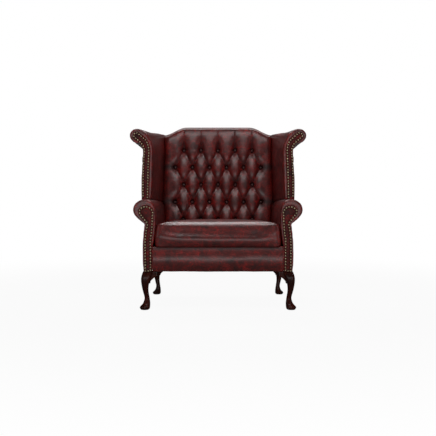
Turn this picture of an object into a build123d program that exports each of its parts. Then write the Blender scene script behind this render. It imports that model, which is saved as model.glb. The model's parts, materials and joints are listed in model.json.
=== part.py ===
"""Wing loveseat with a deep-buttoned back, scroll arms, a loose cushion and cabriole legs.

Millimetres. X runs to the right as seen from the front, the front faces -Y, and Z is up.
The origin lies on the floor under the middle of the whole seat. Depths are measured
backwards from the plane of the arm facings.
"""
from build123d import *
import copy
import math
import os

os.makedirs("parts", exist_ok=True)

# Overall sizes
front_y = -387.03         # the plane of the arm facings, from the origin
leg_height = 222.0        # floor to the underside of the arms and rails
arm_height = 638.0        # floor to the top of the arm roll at the front
arm_rear_height = 620.0
wing_height = 1055.6      # floor to the top of the wing scroll
shoulder_height = 1046.5  # floor to the top of the wing at the back
back_height = 1097.0      # floor to the top of the back
body_depth = 800.0        # reach of the lofts, past the raked rear plane

# Arms, half widths from the middle of the seat
arm_inner = 358.6
arm_outer = 488.0
arm_rear_inner = 340.5
arm_rear_outer = 463.0
arm_rear_depth = 720.0
nose_round = 7.0          # how far the leather border rolls in at a facing

# Wings
wing_depth = 200.0        # front of the wing behind the arm facings
wing_inner = 388.8
wing_tip = 529.3
wing_rear_inner = 338.2
wing_rear_outer = 405.0
wing_foot = 560.0         # the wing runs down to here, inside the arm roll

# Back
back_half_width = 339.7
back_panel_half_width = 405.0
back_tilt = 12.0          # lean of the buttoned face, degrees
rear_tilt = 9.8           # lean of the outside back, degrees
button_plane_depth = 580.0    # bottom of the pleats, at the seat's height
button_plane_height = 490.0
rear_plane_depth = 632.0  # inner face of the outside back, at the underside
back_edge_round = 25.0
back_top_drop = 12.0      # fall of the top of the back towards its rear edge
cyma_drop = 44.0          # fall of the back's top from the middle to the wings
tuft_rise = 35.0
pleat_rise = 2.0
button_pitch = 111.5
button_row_height = 112.0
top_row_height = 942.0
button_diameter = 19.0
button_dome = 6.0
button_sink = 3.0

# Seat
rail_clear_of_legs = 5.5  # rails above the underside
rail_thickness = 28.0
post_depth = 32.5
border_front_gap = 12.0   # padding in front of the posts
border_thickness = 7.5
border_bulge = 10.0
border_lap = 6.0          # how far the border folds back over the front rail
border_lift = 4.0         # front border above the underside
deck_top = 358.0
deck_thickness = 20.0
seat_rake = 2.7           # fall of the deck to the rear, degrees
cushion_half_width = 353.5
cushion_rear_half_width = 338.0
cushion_overhang = 12.0   # cushion in front of the arm facings
cushion_depth = 545.0
cushion_height = 128.0
cushion_crown = 40.0
cushion_corner = 34.0
cushion_pull = 6.0        # how far its sides pull in between the corners
core_wall = 18.0

# Leather panels and hardware
panel_thickness = 8.0
facing_thickness = 7.0
facing_seat = 6.0
nail_diameter = 11.0
nail_dome = 2.6
nail_pitch = 16.5
nail_inset = 4.5
bolt_diameter = 8.0
bolt_length = 70.0
spring_wire = 3.8
spring_count = 7
spring_bends = 12
spring_width = 46.0
screw_diameter = 5.0
strap_width = 50.0
strap_thickness = 1.0
cloth_thickness = 1.5

# Fits
hole_clearance = 0.3
soft_clearance = 0.3
seat_clearance = 0.6
joint_room = 2.0
overrun = 60.0


def depth(distance):
    return front_y + distance


def front_plane(distance):
    return Plane(origin=(0, depth(distance), 0), x_dir=(1, 0, 0), z_dir=(0, -1, 0))


def outline(plane, box, start, segments):
    """Closed face of lines and arcs, given as shares of a box (x, z, width, height)."""
    x, z, width, height = box

    def place(share):
        return (x + share[0] * width, z + share[1] * height)

    with BuildSketch(plane) as face:
        with BuildLine():
            last = place(start)
            for segment in segments:
                end = place(segment[-1])
                if len(segment) == 2:
                    ThreePointArc(last, place(segment[0]), end)
                else:
                    Line(last, end)
                last = end
            Line(last, place(start))
        make_face()
    return face.sketch


def loft_through(faces):
    with BuildPart() as body:
        loft(sections=faces, ruled=True)
    return body.part


def block(x_range, y_range, z_range):
    """Upright box between three pairs of values."""
    size = [high - low for low, high in (x_range, y_range, z_range)]
    middle = [(high + low) / 2 for low, high in (x_range, y_range, z_range)]
    with BuildPart(Plane(origin=tuple(middle))) as body:
        Box(*size)
    return body.part


def plan_prism(points, z_range):
    with BuildPart() as body:
        with BuildSketch(Plane.XY.offset(z_range[0])):
            Polygon(*points, align=None)
        extrude(amount=z_range[1] - z_range[0])
    return body.part


def side_prism(points, x_range):
    """Prism with a (y, z) outline, running from one x to another."""
    plane = Plane(origin=(x_range[0], 0, 0), x_dir=(0, 1, 0), z_dir=(1, 0, 0))
    with BuildPart() as body:
        with BuildSketch(plane):
            Polygon(*points, align=None)
        extrude(amount=x_range[1] - x_range[0])
    return body.part


def keep(solid, label):
    solid.label = label
    export_step(solid, f"parts/{label}.step")


def keep_pair(solid, label):
    """The piece as modelled goes on the right, and its mirror image on the left."""
    keep(solid, f"{label}_right")
    keep(mirror(solid, about=Plane.YZ), f"{label}_left")


# Arm shell: a scroll on a slim panel, lofted from the facing to the raked rear plane
arm_start_share = (0.552, 0)
arm_segment_shares = [
    ((0.599, 0.296), (0.4915, 0.665)),
    ((0.705, 0.712), (0.892, 0.7685)),
    ((1.0, 0.8606), (0.822, 0.964)),
    ((0.536, 1.0), (0.204, 0.976)),
    ((0.057, 0.909), (0.022, 0.820)),
    ((0.0, 0.642), (0.150, 0.329)),
    ((0.165, 0),),
]


def arm_section(distance, inset):
    share = distance / arm_rear_depth
    inner = arm_inner + (arm_rear_inner - arm_inner) * share
    outer = arm_outer + (arm_rear_outer - arm_outer) * share
    top = arm_height + (arm_rear_height - arm_height) * share
    box = (inner + inset, leg_height, outer - inner - 2 * inset, top - leg_height - inset)
    return outline(front_plane(distance), box, arm_start_share, arm_segment_shares)


def rear_plane_y(height):
    return depth(rear_plane_depth) + (height - leg_height) * math.tan(math.radians(rear_tilt))


rear_lean = math.radians(rear_tilt)
rear_plane = Plane(
    origin=(0, rear_plane_y(leg_height), leg_height),
    x_dir=(1, 0, 0),
    z_dir=(0, -math.cos(rear_lean), math.sin(rear_lean)),
)


def before_rear_plane(solid):
    with BuildPart() as body:
        add(solid)
        split(bisect_by=rear_plane, keep=Keep.TOP)
    return body.part


arm_shell = before_rear_plane(
    loft_through([
        arm_section(0, nose_round),
        arm_section(nose_round / 3, nose_round / 3),
        arm_section(nose_round, 0),
        arm_section(body_depth, 0),
    ])
)

# Slot for the timber between the padded inside of an arm and its outside panel
arm_slot_outer = 417.5
arm_slot_rear_outer = 394.5
arm_slot_top = 590.0
post_front = border_front_gap
neck_height = leg_height + arm_segment_shares[0][1][1] * (arm_height - leg_height)


def arm_slot_x(distance):
    share = distance / arm_rear_depth
    return arm_slot_outer + (arm_slot_rear_outer - arm_slot_outer) * share


def arm_slot_plan(start, end, inner_offset, outer_offset):
    return [
        (arm_slot_x(start) + inner_offset, depth(start)),
        (arm_slot_x(start) + outer_offset, depth(start)),
        (arm_slot_x(end) + outer_offset, depth(end)),
        (arm_slot_x(end) + inner_offset, depth(end)),
    ]


arm_slot = plan_prism(
    arm_slot_plan(post_front, body_depth, -rail_thickness, 0), (0, arm_slot_top)
)
arm_outside_zone = plan_prism(
    arm_slot_plan(post_front, body_depth, 0, overrun), (0, neck_height)
)

# Arm facing: a leather-covered board let into the front of the scroll
arm_facing_start_share = (0.496, 0)
arm_facing_segment_shares = [
    ((0.505, 0.361),),
    ((0.471, 0.517), (0.386, 0.661)),
    ((0.706, 0.788),),
    ((0.757, 0.832), (0.683, 0.875)),
    ((0.444, 0.907), (0.212, 0.885)),
    ((0.115, 0.846), (0.105, 0.776)),
    ((0.131, 0.596), (0.196, 0.442)),
    ((0.196, 0),),
]
arm_box = (arm_inner, leg_height, arm_outer - arm_inner, arm_height - leg_height)


def facing_plate(distance, box, start, segments):
    face = outline(front_plane(distance + facing_seat), box, start, segments)
    with BuildPart() as plate:
        extrude(face, amount=facing_thickness)
    return plate.part


arm_facing = facing_plate(0, arm_box, arm_facing_start_share, arm_facing_segment_shares)


def dome_arc(radius, rise):
    """Half the arc of a ball's cap, from its rim to its top."""
    ball = (radius**2 + rise**2) / (2 * rise)
    half_angle = math.asin(radius / ball) / 2
    middle = (ball * math.sin(half_angle), rise - ball * (1 - math.cos(half_angle)))
    return ThreePointArc((radius, 0), middle, (0, rise))


# Dome-headed nail, modelled as its head on the leather
with BuildPart() as nail_head:
    with BuildSketch(Plane.XZ):
        with BuildLine():
            dome_arc(nail_diameter / 2, nail_dome)
            Polyline((0, nail_dome), (0, 0), (nail_diameter / 2, 0))
        make_face()
    revolve(axis=Axis.Z)


def nail_row(face, plane, lowest=0):
    """Nail heads at an even pitch round the face, a little inside its edge."""
    path = offset(face, amount=-nail_inset).wire()
    count = round(path.length / nail_pitch)
    spots = [path @ (index / count) for index in range(count)]
    heads = []
    for spot in spots:
        if spot.Z > lowest:
            place = Plane(origin=tuple(spot), x_dir=plane.x_dir, z_dir=plane.z_dir)
            heads.append(place.location * copy.copy(nail_head.part))
    return Compound(children=heads)


arm_facing_front = facing_seat - facing_thickness
arm_nails = nail_row(
    outline(
        front_plane(arm_facing_front), arm_box, arm_facing_start_share, arm_facing_segment_shares
    ),
    front_plane(arm_facing_front),
)

# Wing shell: flares outwards to a scroll at its front edge and is plain at the back
wing_start_share = (0.483, 0)
wing_segment_shares = [
    ((0.5025, 0.373), (0.431, 0.676)),
    ((0.4605, 0.783), (0.594, 0.837)),
    ((0.884, 0.8535), (1.0, 0.916)),
    ((0.898, 0.9766), (0.685, 1.0)),
    ((0.364, 0.9706), (0.171, 0.896)),
    ((0.048, 0.823), (0.0, 0.726)),
    ((0.030, 0.434), (0.115, 0)),
]
wing_rear_start_share = (1, 0)
wing_rear_segment_shares = [
    ((1, 0.676),),
    ((1, 0.86),),
    ((1, 0.94),),
    ((0.94, 0.977), (0.78, 0.995)),
    ((0.5, 1.0), (0.22, 0.995)),
    ((0.06, 0.977), (0, 0.94)),
    ((0, 0),),
]
wing_box = (wing_inner, wing_foot, wing_tip - wing_inner, wing_height - wing_foot)
wing_rear_box = (
    wing_rear_inner,
    wing_foot,
    wing_rear_outer - wing_rear_inner,
    shoulder_height - wing_foot,
)


def wing_section(distance, inset):
    x, z, width, height = wing_box
    box = (x + inset, z, width - 2 * inset, height - inset)
    return outline(front_plane(distance), box, wing_start_share, wing_segment_shares)


wing_shell = before_rear_plane(
    loft_through([
        wing_section(wing_depth, nose_round),
        wing_section(wing_depth + nose_round / 3, nose_round / 3),
        wing_section(wing_depth + nose_round, 0),
        outline(
            front_plane(body_depth), wing_rear_box, wing_rear_start_share, wing_rear_segment_shares
        ),
    ])
)
wing_shell = wing_shell - arm_shell

# Slot for the wing's timber, between its padded inside and its outside panel
wing_slot_outer = 441.0
wing_slot_rear_outer = 396.5
wing_slot_top = 972.0
wing_slot_front = wing_depth + border_front_gap


def wing_slot_x(distance):
    share = (distance - wing_depth) / (body_depth - wing_depth)
    return wing_slot_outer + (wing_slot_rear_outer - wing_slot_outer) * share


def wing_slot_plan(start, end, inner_offset, outer_offset):
    return [
        (wing_slot_x(start) + inner_offset, depth(start)),
        (wing_slot_x(start) + outer_offset, depth(start)),
        (wing_slot_x(end) + outer_offset, depth(end)),
        (wing_slot_x(end) + inner_offset, depth(end)),
    ]


wing_slot = plan_prism(
    wing_slot_plan(wing_slot_front, body_depth, -rail_thickness, 0), (arm_slot_top, wing_slot_top)
)
wing_outside_zone = plan_prism(
    wing_slot_plan(wing_slot_front, body_depth, 0, overrun), (0, wing_slot_top)
)

# Wing facing: follows the scroll and ends on the arm
wing_facing_start_share = (0.453, 0.0807)
wing_facing_segment_shares = [
    ((0.4605, 0.373), (0.4107, 0.686)),
    ((0.4356, 0.783), (0.5423, 0.827)),
    ((0.7986, 0.8858),),
    ((0.845, 0.908), (0.7986, 0.9453)),
    ((0.713, 0.9564), (0.628, 0.9514)),
    ((0.272, 0.8636),),
    ((0.1616, 0.787), (0.1438, 0.706)),
    ((0.179, 0.484), (0.2078, 0.0807)),
]
wing_facing_whole = facing_plate(
    wing_depth, wing_box, wing_facing_start_share, wing_facing_segment_shares
)
wing_facing = wing_facing_whole - arm_shell
wing_facing_front = wing_depth + facing_seat - facing_thickness
wing_nails = nail_row(
    outline(
        front_plane(wing_facing_front),
        wing_box,
        wing_facing_start_share,
        wing_facing_segment_shares,
    ),
    front_plane(wing_facing_front),
    lowest=arm_height + nail_diameter / 2,
)

# Deck levels: a padded board over the springs, falling to the rear
rake = math.radians(seat_rake)


def deck_z(distance, below=0):
    return deck_top - below - distance * math.tan(rake)


def deck_x(distance):
    """Half width between the arms at the height of the deck."""
    share = distance / arm_rear_depth
    inner = arm_inner + (arm_rear_inner - arm_inner) * share
    outer = arm_outer + (arm_rear_outer - arm_outer) * share
    return inner + arm_segment_shares[5][1][0] * (outer - inner) - seat_clearance


# Seat timber: rails between the arm posts and the raked back posts
rail_foot = leg_height + rail_clear_of_legs
back_post_depth = 45.0
back_post_top = 1010.0
back_post_front = rear_plane_depth - back_post_depth / math.cos(rear_lean)
back_post_inset = 8.6
back_post_width = 28.0
back_post_x = (
    back_panel_half_width - back_post_inset - back_post_width,
    back_panel_half_width - back_post_inset,
)
back_rail_half_width = back_post_x[0]
border_back = post_front + border_thickness + border_lap
spring_front = post_front + (border_thickness + post_depth) / 2
spring_rear = rear_plane_depth - back_post_depth / 2
clip_roof = 1.0
clip_height = spring_wire + hole_clearance + clip_roof


def rail_top(distance):
    """Rails stop below the deck by the height of the spring clips that lie on them."""
    return deck_z(distance, deck_thickness + hole_clearance + clip_height)


front_rail_top = rail_top(post_front + post_depth)
rear_rail_top = rail_top(spring_rear + spring_wire)
top_rail_heights = (965.0, 1015.0)
lower_rail_heights = (400.0, 445.0)
arm_rail_foot = 545.0


def raked_bar(x_range, z_range, thickness, behind=0):
    """Bar parallel to the rear plane, with a gap behind it."""
    far = behind / math.cos(rear_lean)
    near = far + thickness / math.cos(rear_lean)
    low, high = z_range
    points = [
        (rear_plane_y(low) - near, low),
        (rear_plane_y(low) - far, low),
        (rear_plane_y(high) - far, high),
        (rear_plane_y(high) - near, high),
    ]
    return side_prism(points, x_range)


arm_post = plan_prism(
    arm_slot_plan(post_front, post_front + post_depth, -rail_thickness, 0),
    (leg_height, arm_slot_top),
)
side_rail = plan_prism(
    arm_slot_plan(post_front + post_depth, back_post_front, -rail_thickness, 0),
    (rail_foot, rear_rail_top),
)
arm_rail = plan_prism(
    arm_slot_plan(
        post_front + post_depth,
        back_post_front + (arm_rail_foot - leg_height) * math.tan(rear_lean),
        -rail_thickness,
        0,
    ),
    (arm_rail_foot, arm_slot_top),
)
back_post = raked_bar(back_post_x, (leg_height, back_post_top), back_post_depth)
front_rail_x = arm_slot_x(post_front + post_depth) - rail_thickness
front_rail = block(
    (-front_rail_x, front_rail_x),
    (depth(post_front + border_thickness), depth(post_front + post_depth)),
    (rail_foot, front_rail_top),
)
rear_rail = raked_bar(
    (-back_rail_half_width, back_rail_half_width), (rail_foot, rear_rail_top), back_post_depth
)
back_top_rail = raked_bar(
    (-back_rail_half_width, back_rail_half_width), top_rail_heights, rail_thickness
)
back_lower_rail = raked_bar(
    (-back_rail_half_width, back_rail_half_width), lower_rail_heights, rail_thickness
)

# Wing timber: a post screwed to the outside of the arm rail, and a rail back to the back post
wing_post_front = 215.0
wing_post_depth = 30.0
wing_rail_height = 30.0
wing_post_x = arm_slot_x(wing_post_front) + hole_clearance
wing_post = block(
    (wing_post_x, wing_post_x + rail_thickness),
    (depth(wing_post_front), depth(wing_post_front + wing_post_depth)),
    (arm_rail_foot, wing_slot_top),
)
wing_rail_end = back_post_front + (wing_slot_top - wing_rail_height - leg_height) * math.tan(rear_lean)
wing_rail = plan_prism(
    [
        (wing_post_x, depth(wing_post_front + wing_post_depth)),
        (wing_post_x + rail_thickness, depth(wing_post_front + wing_post_depth)),
        (back_post_x[1], depth(wing_rail_end)),
        (back_post_x[0], depth(wing_rail_end)),
    ],
    (wing_slot_top - wing_rail_height, wing_slot_top),
)

# Deck board, with its top covered
deck_front = border_back + seat_clearance
web_gap = 2 * strap_thickness
frame_reach = (rail_thickness + web_gap) / math.cos(rear_lean)
deck_rear = rear_plane_depth + (rear_rail_top - leg_height) * math.tan(rear_lean) - frame_reach
deck_slab = side_prism(
    [
        (depth(deck_front), deck_z(deck_front)),
        (depth(deck_rear), deck_z(deck_rear)),
        (depth(deck_rear), deck_z(deck_rear, deck_thickness)),
        (depth(deck_front), deck_z(deck_front, deck_thickness)),
    ],
    (-arm_outer, arm_outer),
)
deck_plan = plan_prism(
    [
        (-deck_x(deck_front), depth(deck_front)),
        (deck_x(deck_front), depth(deck_front)),
        (deck_x(deck_rear), depth(deck_rear)),
        (-deck_x(deck_rear), depth(deck_rear)),
    ],
    (leg_height, arm_height),
)
seat_platform = deck_slab & deck_plan

# Back pad: side profiles along X, with the curved fall of its top towards the wings
back_profile_shares = [(0, 0), (0.671, 0), (0.78, 0.33), (0.848, 0.62), (0.945, 0.82), (1, 1)]
pad_foot = leg_height + overrun
tilt = math.radians(back_tilt)


def button_plane_y(height):
    return depth(button_plane_depth) + (height - button_plane_height) * math.tan(tilt)


def back_top_z(x):
    """Height of the top of the back at one distance from the middle."""
    share = abs(x) / back_half_width
    for (near, near_drop), (far, far_drop) in zip(back_profile_shares, back_profile_shares[1:]):
        if share <= far:
            part = (share - near) / (far - near)
            return back_height - cyma_drop * (near_drop + part * (far_drop - near_drop))
    return back_height - cyma_drop


def back_section(x):
    top = back_top_z(x)
    front_top = top - back_edge_round
    plane = Plane(origin=(x, 0, 0), x_dir=(0, 1, 0), z_dir=(1, 0, 0))
    with BuildSketch(plane) as section:
        with BuildLine():
            Line((button_plane_y(pad_foot), pad_foot), (button_plane_y(front_top), front_top))
            ThreePointArc(
                (button_plane_y(front_top), front_top),
                (button_plane_y(front_top) + back_edge_round * 0.4, top - back_edge_round * 0.24),
                (button_plane_y(top) + back_edge_round, top),
            )
            Polyline(
                (button_plane_y(top) + back_edge_round, top),
                (rear_plane_y(top - back_top_drop), top - back_top_drop),
                (rear_plane_y(pad_foot), pad_foot),
                (button_plane_y(pad_foot), pad_foot),
            )
        make_face()
    return section.sketch


half_xs = [share * back_half_width for share, _ in back_profile_shares]
back_shell = loft_through([back_section(x) for x in [-x for x in reversed(half_xs[1:])] + half_xs[1:]])

# Tufts: pillows of the buttoned face, each a loft of arcs that rise from straight pleats
row_counts = [5, 6, 5, 6, 5]
rows = [
    (top_row_height - button_row_height * row - button_plane_height) / math.cos(tilt)
    for row in range(len(row_counts))
]
tuft_foot = (deck_top - button_plane_height) / math.cos(tilt)


def row_xs(row):
    count = row_counts[row]
    return [button_pitch * (index - (count - 1) / 2) for index in range(count)]


def face_point(x, along, out=0):
    """Point on the button plane, by its distance up the plane, and out from it."""
    return (
        x,
        depth(button_plane_depth) + along * math.sin(tilt) - out * math.cos(tilt),
        button_plane_height + along * math.cos(tilt) + out * math.sin(tilt),
    )


def pillow_section(x, low, high, rise):
    plane = Plane(origin=face_point(x, 0), x_dir=(0, math.sin(tilt), math.cos(tilt)), z_dir=(1, 0, 0))
    with BuildSketch(plane) as section:
        with BuildLine():
            ThreePointArc((low, 0), ((low + high) / 2, rise), (high, 0))
            Line((high, 0), (low, 0))
        make_face()
    return section.sketch


dome_shares = [(0.7, 0.52), (0.35, 0.88), (0, 1)]


def diamond_half(x, row, side):
    """Half of a full diamond tuft, from its side button to its middle."""
    half = button_pitch / 2
    reach = rows[row - 1] - rows[row]
    sections = [Vertex(*face_point(x + side * half, rows[row]))]
    for away, rise in dome_shares:
        low = rows[row] - (1 - away) * reach
        high = rows[row] + (1 - away) * reach
        sections.append(pillow_section(x + side * away * half, low, high, tuft_rise * rise))
    return loft_through(sections)


def flute_top(x):
    return (back_top_z(x) - back_edge_round - button_plane_height) / math.cos(tilt)


flute_shares = [(0, 0), (0.25, 0.62), (0.5, 0.85), (0.75, 0.62), (1, 0)]


def flute(left_x, row, next_row, end_at):
    """Channel from a gap in the end row to the top or the foot of the pad."""
    sections = []
    for across, rise in flute_shares:
        x = left_x + across * button_pitch
        toward = 1 - abs(2 * across - 1)
        inner = rows[row] + toward * (rows[next_row] - rows[row])
        low, high = sorted((inner, end_at(x)))
        sections.append(pillow_section(x, low, high, pleat_rise + tuft_rise * rise))
    return loft_through(sections)


side_strip_shares = [(0, 0), (0.5, 0.6), (1, 0.8)]
edge_strip_shares = [(0.45, 0.78), (1, 0.3)]


def side_tufts(side):
    """Plain bulging strips between the outer buttons and the wing."""
    short_x = row_xs(0)[-1]
    long_x = row_xs(1)[-1]
    pillows = []
    middle = [Vertex(*face_point(side * short_x, rows[2]))]
    reach = rows[1] - rows[2]
    for across, rise in side_strip_shares[1:]:
        x = short_x + across * (long_x - short_x)
        middle.append(
            pillow_section(
                side * x, rows[2] - across * reach, rows[2] + across * reach, tuft_rise * rise
            )
        )
    for across, rise in edge_strip_shares:
        x = long_x + across * (back_half_width - long_x)
        middle.append(pillow_section(side * x, rows[3], rows[1], tuft_rise * rise))
    pillows.append(loft_through(middle))
    for row, next_row, end_at in ((0, 1, flute_top), (4, 3, lambda x: tuft_foot)):
        corner = []
        for across, rise in side_strip_shares:
            x = short_x + across * (long_x - short_x)
            inner = rows[row] + across * (rows[next_row] - rows[row])
            low, high = sorted((inner, end_at(x)))
            corner.append(pillow_section(side * x, low, high, pleat_rise + tuft_rise * rise))
        for across, rise in edge_strip_shares:
            x = long_x + across * (back_half_width - long_x)
            low, high = sorted((rows[next_row], end_at(x)))
            corner.append(pillow_section(side * x, low, high, pleat_rise + tuft_rise * rise))
        pillows.append(loft_through(corner))
    return pillows


pillows = side_tufts(-1) + side_tufts(1)
for row in (1, 2, 3):
    centres = row_xs(row - 1) if row != 2 else row_xs(1)[1:-1]
    pillows += [diamond_half(x, row, side) for x in centres for side in (-1, 1)]
for left_x in row_xs(0)[:-1]:
    pillows.append(flute(left_x, 0, 1, flute_top))
    pillows.append(flute(left_x, 4, 3, lambda x: tuft_foot))

# Zone of the back timber and webbing, behind the buttoned pad
back_frame_zone = raked_bar(
    (-back_panel_half_width, back_panel_half_width),
    (0, top_rail_heights[1]),
    rail_thickness + web_gap,
)
below_deck = side_prism(
    [
        (depth(0), deck_z(0)),
        (depth(body_depth), deck_z(body_depth)),
        (depth(body_depth), 0),
        (depth(0), 0),
    ],
    (-arm_outer, arm_outer),
)


def button_places():
    return [(x, row) for row, height in enumerate(rows) for x in row_xs(row)]


def at_buttons(solid, out=0):
    """Copies of a solid at every button, turned to the lean of the back."""
    copies = []
    for x, row in button_places():
        place = Plane(
            origin=face_point(x, rows[row], out),
            x_dir=(1, 0, 0),
            z_dir=(0, -math.cos(tilt), math.sin(tilt)),
        )
        copies.append(place.location * copy.copy(solid))
    return copies


# Buttons: leather-covered domes drawn down to the bottom of the pleats
button_radius = button_diameter / 2
with BuildPart() as button:
    with BuildSketch(Plane.XZ):
        with BuildLine():
            dome_arc(button_radius, button_dome)
            Polyline((0, button_dome), (0, -button_sink), (button_radius, -button_sink), (button_radius, 0))
        make_face()
    revolve(axis=Axis.Z)

well_radius = button_radius + hole_clearance
with BuildPart() as button_well:
    with BuildSketch(Plane.XY.offset(-button_sink)):
        Circle(well_radius)
    extrude(amount=button_sink + button_dome)
buttons = Compound(children=at_buttons(button.part))

with BuildPart() as inside_back_pad:
    add(back_shell)
    add(pillows)
    add(back_frame_zone, mode=Mode.SUBTRACT)
    add(below_deck, mode=Mode.SUBTRACT)
    add(at_buttons(button_well.part), mode=Mode.SUBTRACT)
inside_back = inside_back_pad.part

# Corner blocks glued and screwed inside the corners of the seat frame
corner_leg = 60.0
corner_thickness = 40.0
screw_spot = 40.0
screw_length = corner_leg - screw_spot + rail_thickness * 0.7
corner_heights = (rail_foot, rail_foot + corner_thickness)
front_corner = (front_rail_x, depth(post_front + post_depth))
rear_corner_y = rear_plane_y(corner_heights[0]) - back_post_depth / math.cos(rear_lean)
rear_corner = (arm_slot_x(back_post_front) - rail_thickness, rear_corner_y)


def corner_block(corner, toward_rear):
    """Triangle in a corner of the frame, for the right-hand side."""
    x, y = corner
    y_leg = corner_leg if toward_rear else -corner_leg
    return plan_prism([(x, y), (x - corner_leg, y), (x, y + y_leg)], corner_heights)


def rod(origin, direction, length, diameter):
    with BuildPart(Plane(origin=origin, z_dir=direction)) as bar:
        Cylinder(diameter / 2, length, align=(Align.CENTER, Align.CENTER, Align.MIN))
    return bar.part


def corner_rods(corner, toward_rear, diameter):
    """Screws of one corner block, one into each rail that it meets."""
    x, y = corner
    way = 1 if toward_rear else -1
    height = sum(corner_heights) / 2
    start = corner_leg - screw_spot
    return [
        rod((x - screw_spot, y + way * start, height), (0, -way, 0), screw_length, diameter),
        rod((x - start, y + way * screw_spot, height), (1, 0, 0), screw_length, diameter),
    ]


corners = [(front_corner, True), (rear_corner, False)]
screws_right = [rod_ for corner, way in corners for rod_ in corner_rods(corner, way, screw_diameter)]
screw_holes_right = [
    rod_
    for corner, way in corners
    for rod_ in corner_rods(corner, way, screw_diameter + 2 * hole_clearance)
]


def both_sides(solids):
    return solids + [mirror(solid, about=Plane.YZ) for solid in solids]


def cut(solid, tools):
    with BuildPart() as body:
        add(solid)
        add(tools, mode=Mode.SUBTRACT)
    return body.part


blocks_right = [
    cut(corner_block(corner, way), screw_holes_right + [side_rail]) for corner, way in corners
]

# Legs: cabriole, with the toes turned out at 45 degrees and an ear under each rail.
# Each entry: height share, half width share, outward shift share and corner share.
leg_width = 52.4
leg_height_shares = [0, 0.021, 0.065, 0.117, 0.167, 0.23, 0.284, 0.441, 0.568, 0.698, 0.806, 0.901, 1]
leg_width_shares = [0.80, 1.0, 1.13, 0.96, 0.79, 0.666, 0.58, 0.60, 0.70, 0.855, 0.98, 1.04, 1.0]
leg_shift_shares = [
    0.351, 0.319, 0.319, 0.223, 0.137, 0.101, 0.09, 0.20, 0.271, 0.275, 0.229, 0.134, 0,
]
leg_corner_shares = [0.49, 0.49, 0.49, 0.49, 0.49, 0.49, 0.49, 0.45, 0.4, 0.32, 0.25, 0.2, 0.15]
ear_reach = 51.0
ear_thickness = 28.0
ear_foot_share = 0.66
ear_end_share = 0.87
front_leg_spot = (406.0, 30.0)
rear_leg_spot = (387.4, 607.0)
rear_leg_size = 0.9
rear_leg_curve = 0.86


def leg_solid(spot, rearward, size, curve):
    """Leg for the right-hand side; rearward turns its toe to the back."""
    x = spot[0]
    y = depth(spot[1])
    way = 1 if rearward else -1
    sections = []
    table = zip(leg_height_shares, leg_width_shares, leg_shift_shares, leg_corner_shares)
    for height_share, width_share, shift_share, corner_share in table:
        width = leg_width * width_share * size
        shift = leg_width * shift_share * size
        height = leg_height * (height_share * curve if height_share < 1 else 1)
        with BuildSketch(Plane.XY.offset(height)) as section:
            with Locations((x + shift, y + way * shift)):
                RectangleRounded(width, width, width * corner_share)
        sections.append(section.sketch)
    with BuildPart() as leg:
        loft(sections=sections)
    return leg.part


def ear(spot, direction, size, curve):
    """Bracket from the knee along a rail, its underside a hollow curve."""
    across = Vector(*direction).cross(Vector(0, 0, 1))
    plane = Plane(origin=(spot[0], depth(spot[1]), 0), x_dir=direction, z_dir=across)
    start = leg_width * size * 0.1
    reach = ear_reach
    low = leg_height * ear_foot_share * curve
    high = leg_height * ear_end_share * curve
    with BuildPart() as bracket:
        with BuildSketch(plane):
            with BuildLine():
                Line((start, leg_height), (start, low))
                ThreePointArc(
                    (start, low),
                    (start + (reach - start) * 0.45, low + (high - low) * 0.6),
                    (reach, high),
                )
                Polyline((reach, high), (reach, leg_height), (start, leg_height))
            make_face()
        extrude(amount=ear_thickness * size / 2, both=True)
    return bracket.part


def whole_leg(spot, rearward, size, curve):
    rail_way = -1 if rearward else 1
    with BuildPart() as leg:
        add(leg_solid(spot, rearward, size, curve))
        add(ear(spot, (-1, 0, 0), size, curve))
        add(ear(spot, (0, rail_way, 0), size, curve))
    return leg.part


# Hanger bolts from the legs up into the posts
front_bolt = (arm_slot_x(post_front) - rail_thickness / 2, post_front + post_depth / 2)
rear_bolt = (sum(back_post_x) / 2, (back_post_front + rear_plane_depth) / 2)


def leg_bolt(spot, diameter):
    origin = (spot[0], depth(spot[1]), leg_height - bolt_length / 2)
    return rod(origin, (0, 0, 1), bolt_length, diameter)


bolts_right = [leg_bolt(spot, bolt_diameter) for spot in (front_bolt, rear_bolt)]
bolt_holes = [
    leg_bolt(spot, bolt_diameter + 2 * hole_clearance) for spot in (front_bolt, rear_bolt)
]

# Zigzag springs from the front rail to the rear rail, with a clip at each end
spring_fall = math.atan2(
    rail_top(spring_front) - rail_top(spring_rear), spring_rear - spring_front
)
spring_pitch = 2 * deck_x(spring_rear) / (spring_count + 1)


def spring_height(distance):
    return rail_top(distance) + (spring_wire + hole_clearance) / 2


def zigzag_spring(x):
    length = (spring_rear - spring_front) / math.cos(spring_fall)
    step = length / spring_bends
    plane = Plane(
        origin=(x, depth(spring_front), spring_height(spring_front)),
        x_dir=(0, math.cos(spring_fall), -math.sin(spring_fall)),
        z_dir=(0, math.sin(spring_fall), math.cos(spring_fall)),
    )
    points = []
    for bend in range(spring_bends + 1):
        way = 1 if bend % 2 else -1
        points += [(bend * step, way * spring_width / 2), (bend * step, -way * spring_width / 2)]
    with BuildPart() as spring:
        with BuildLine(plane) as path:
            FilletPolyline(*points, radius=0.45 * min(step, spring_width))
        with BuildSketch(Plane(origin=path.line @ 0, z_dir=path.line % 0)):
            Circle(spring_wire / 2)
        sweep(path=path.line)
    return spring.part


clip_width = 8.0
clip_reach = 12.0


def spring_clip(x, distance, foot):
    y = depth(distance)
    top = rail_top(distance) + clip_height
    groove = spring_wire / 2 + hole_clearance
    half = clip_width / 2
    body = block((x - half, x + half), (y - clip_reach / 2, y + clip_reach / 2), (foot, top))
    channel = block(
        (x - clip_width, x + clip_width), (y - groove, y + groove), (foot, top - clip_roof)
    )
    return cut(body, channel)


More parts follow.
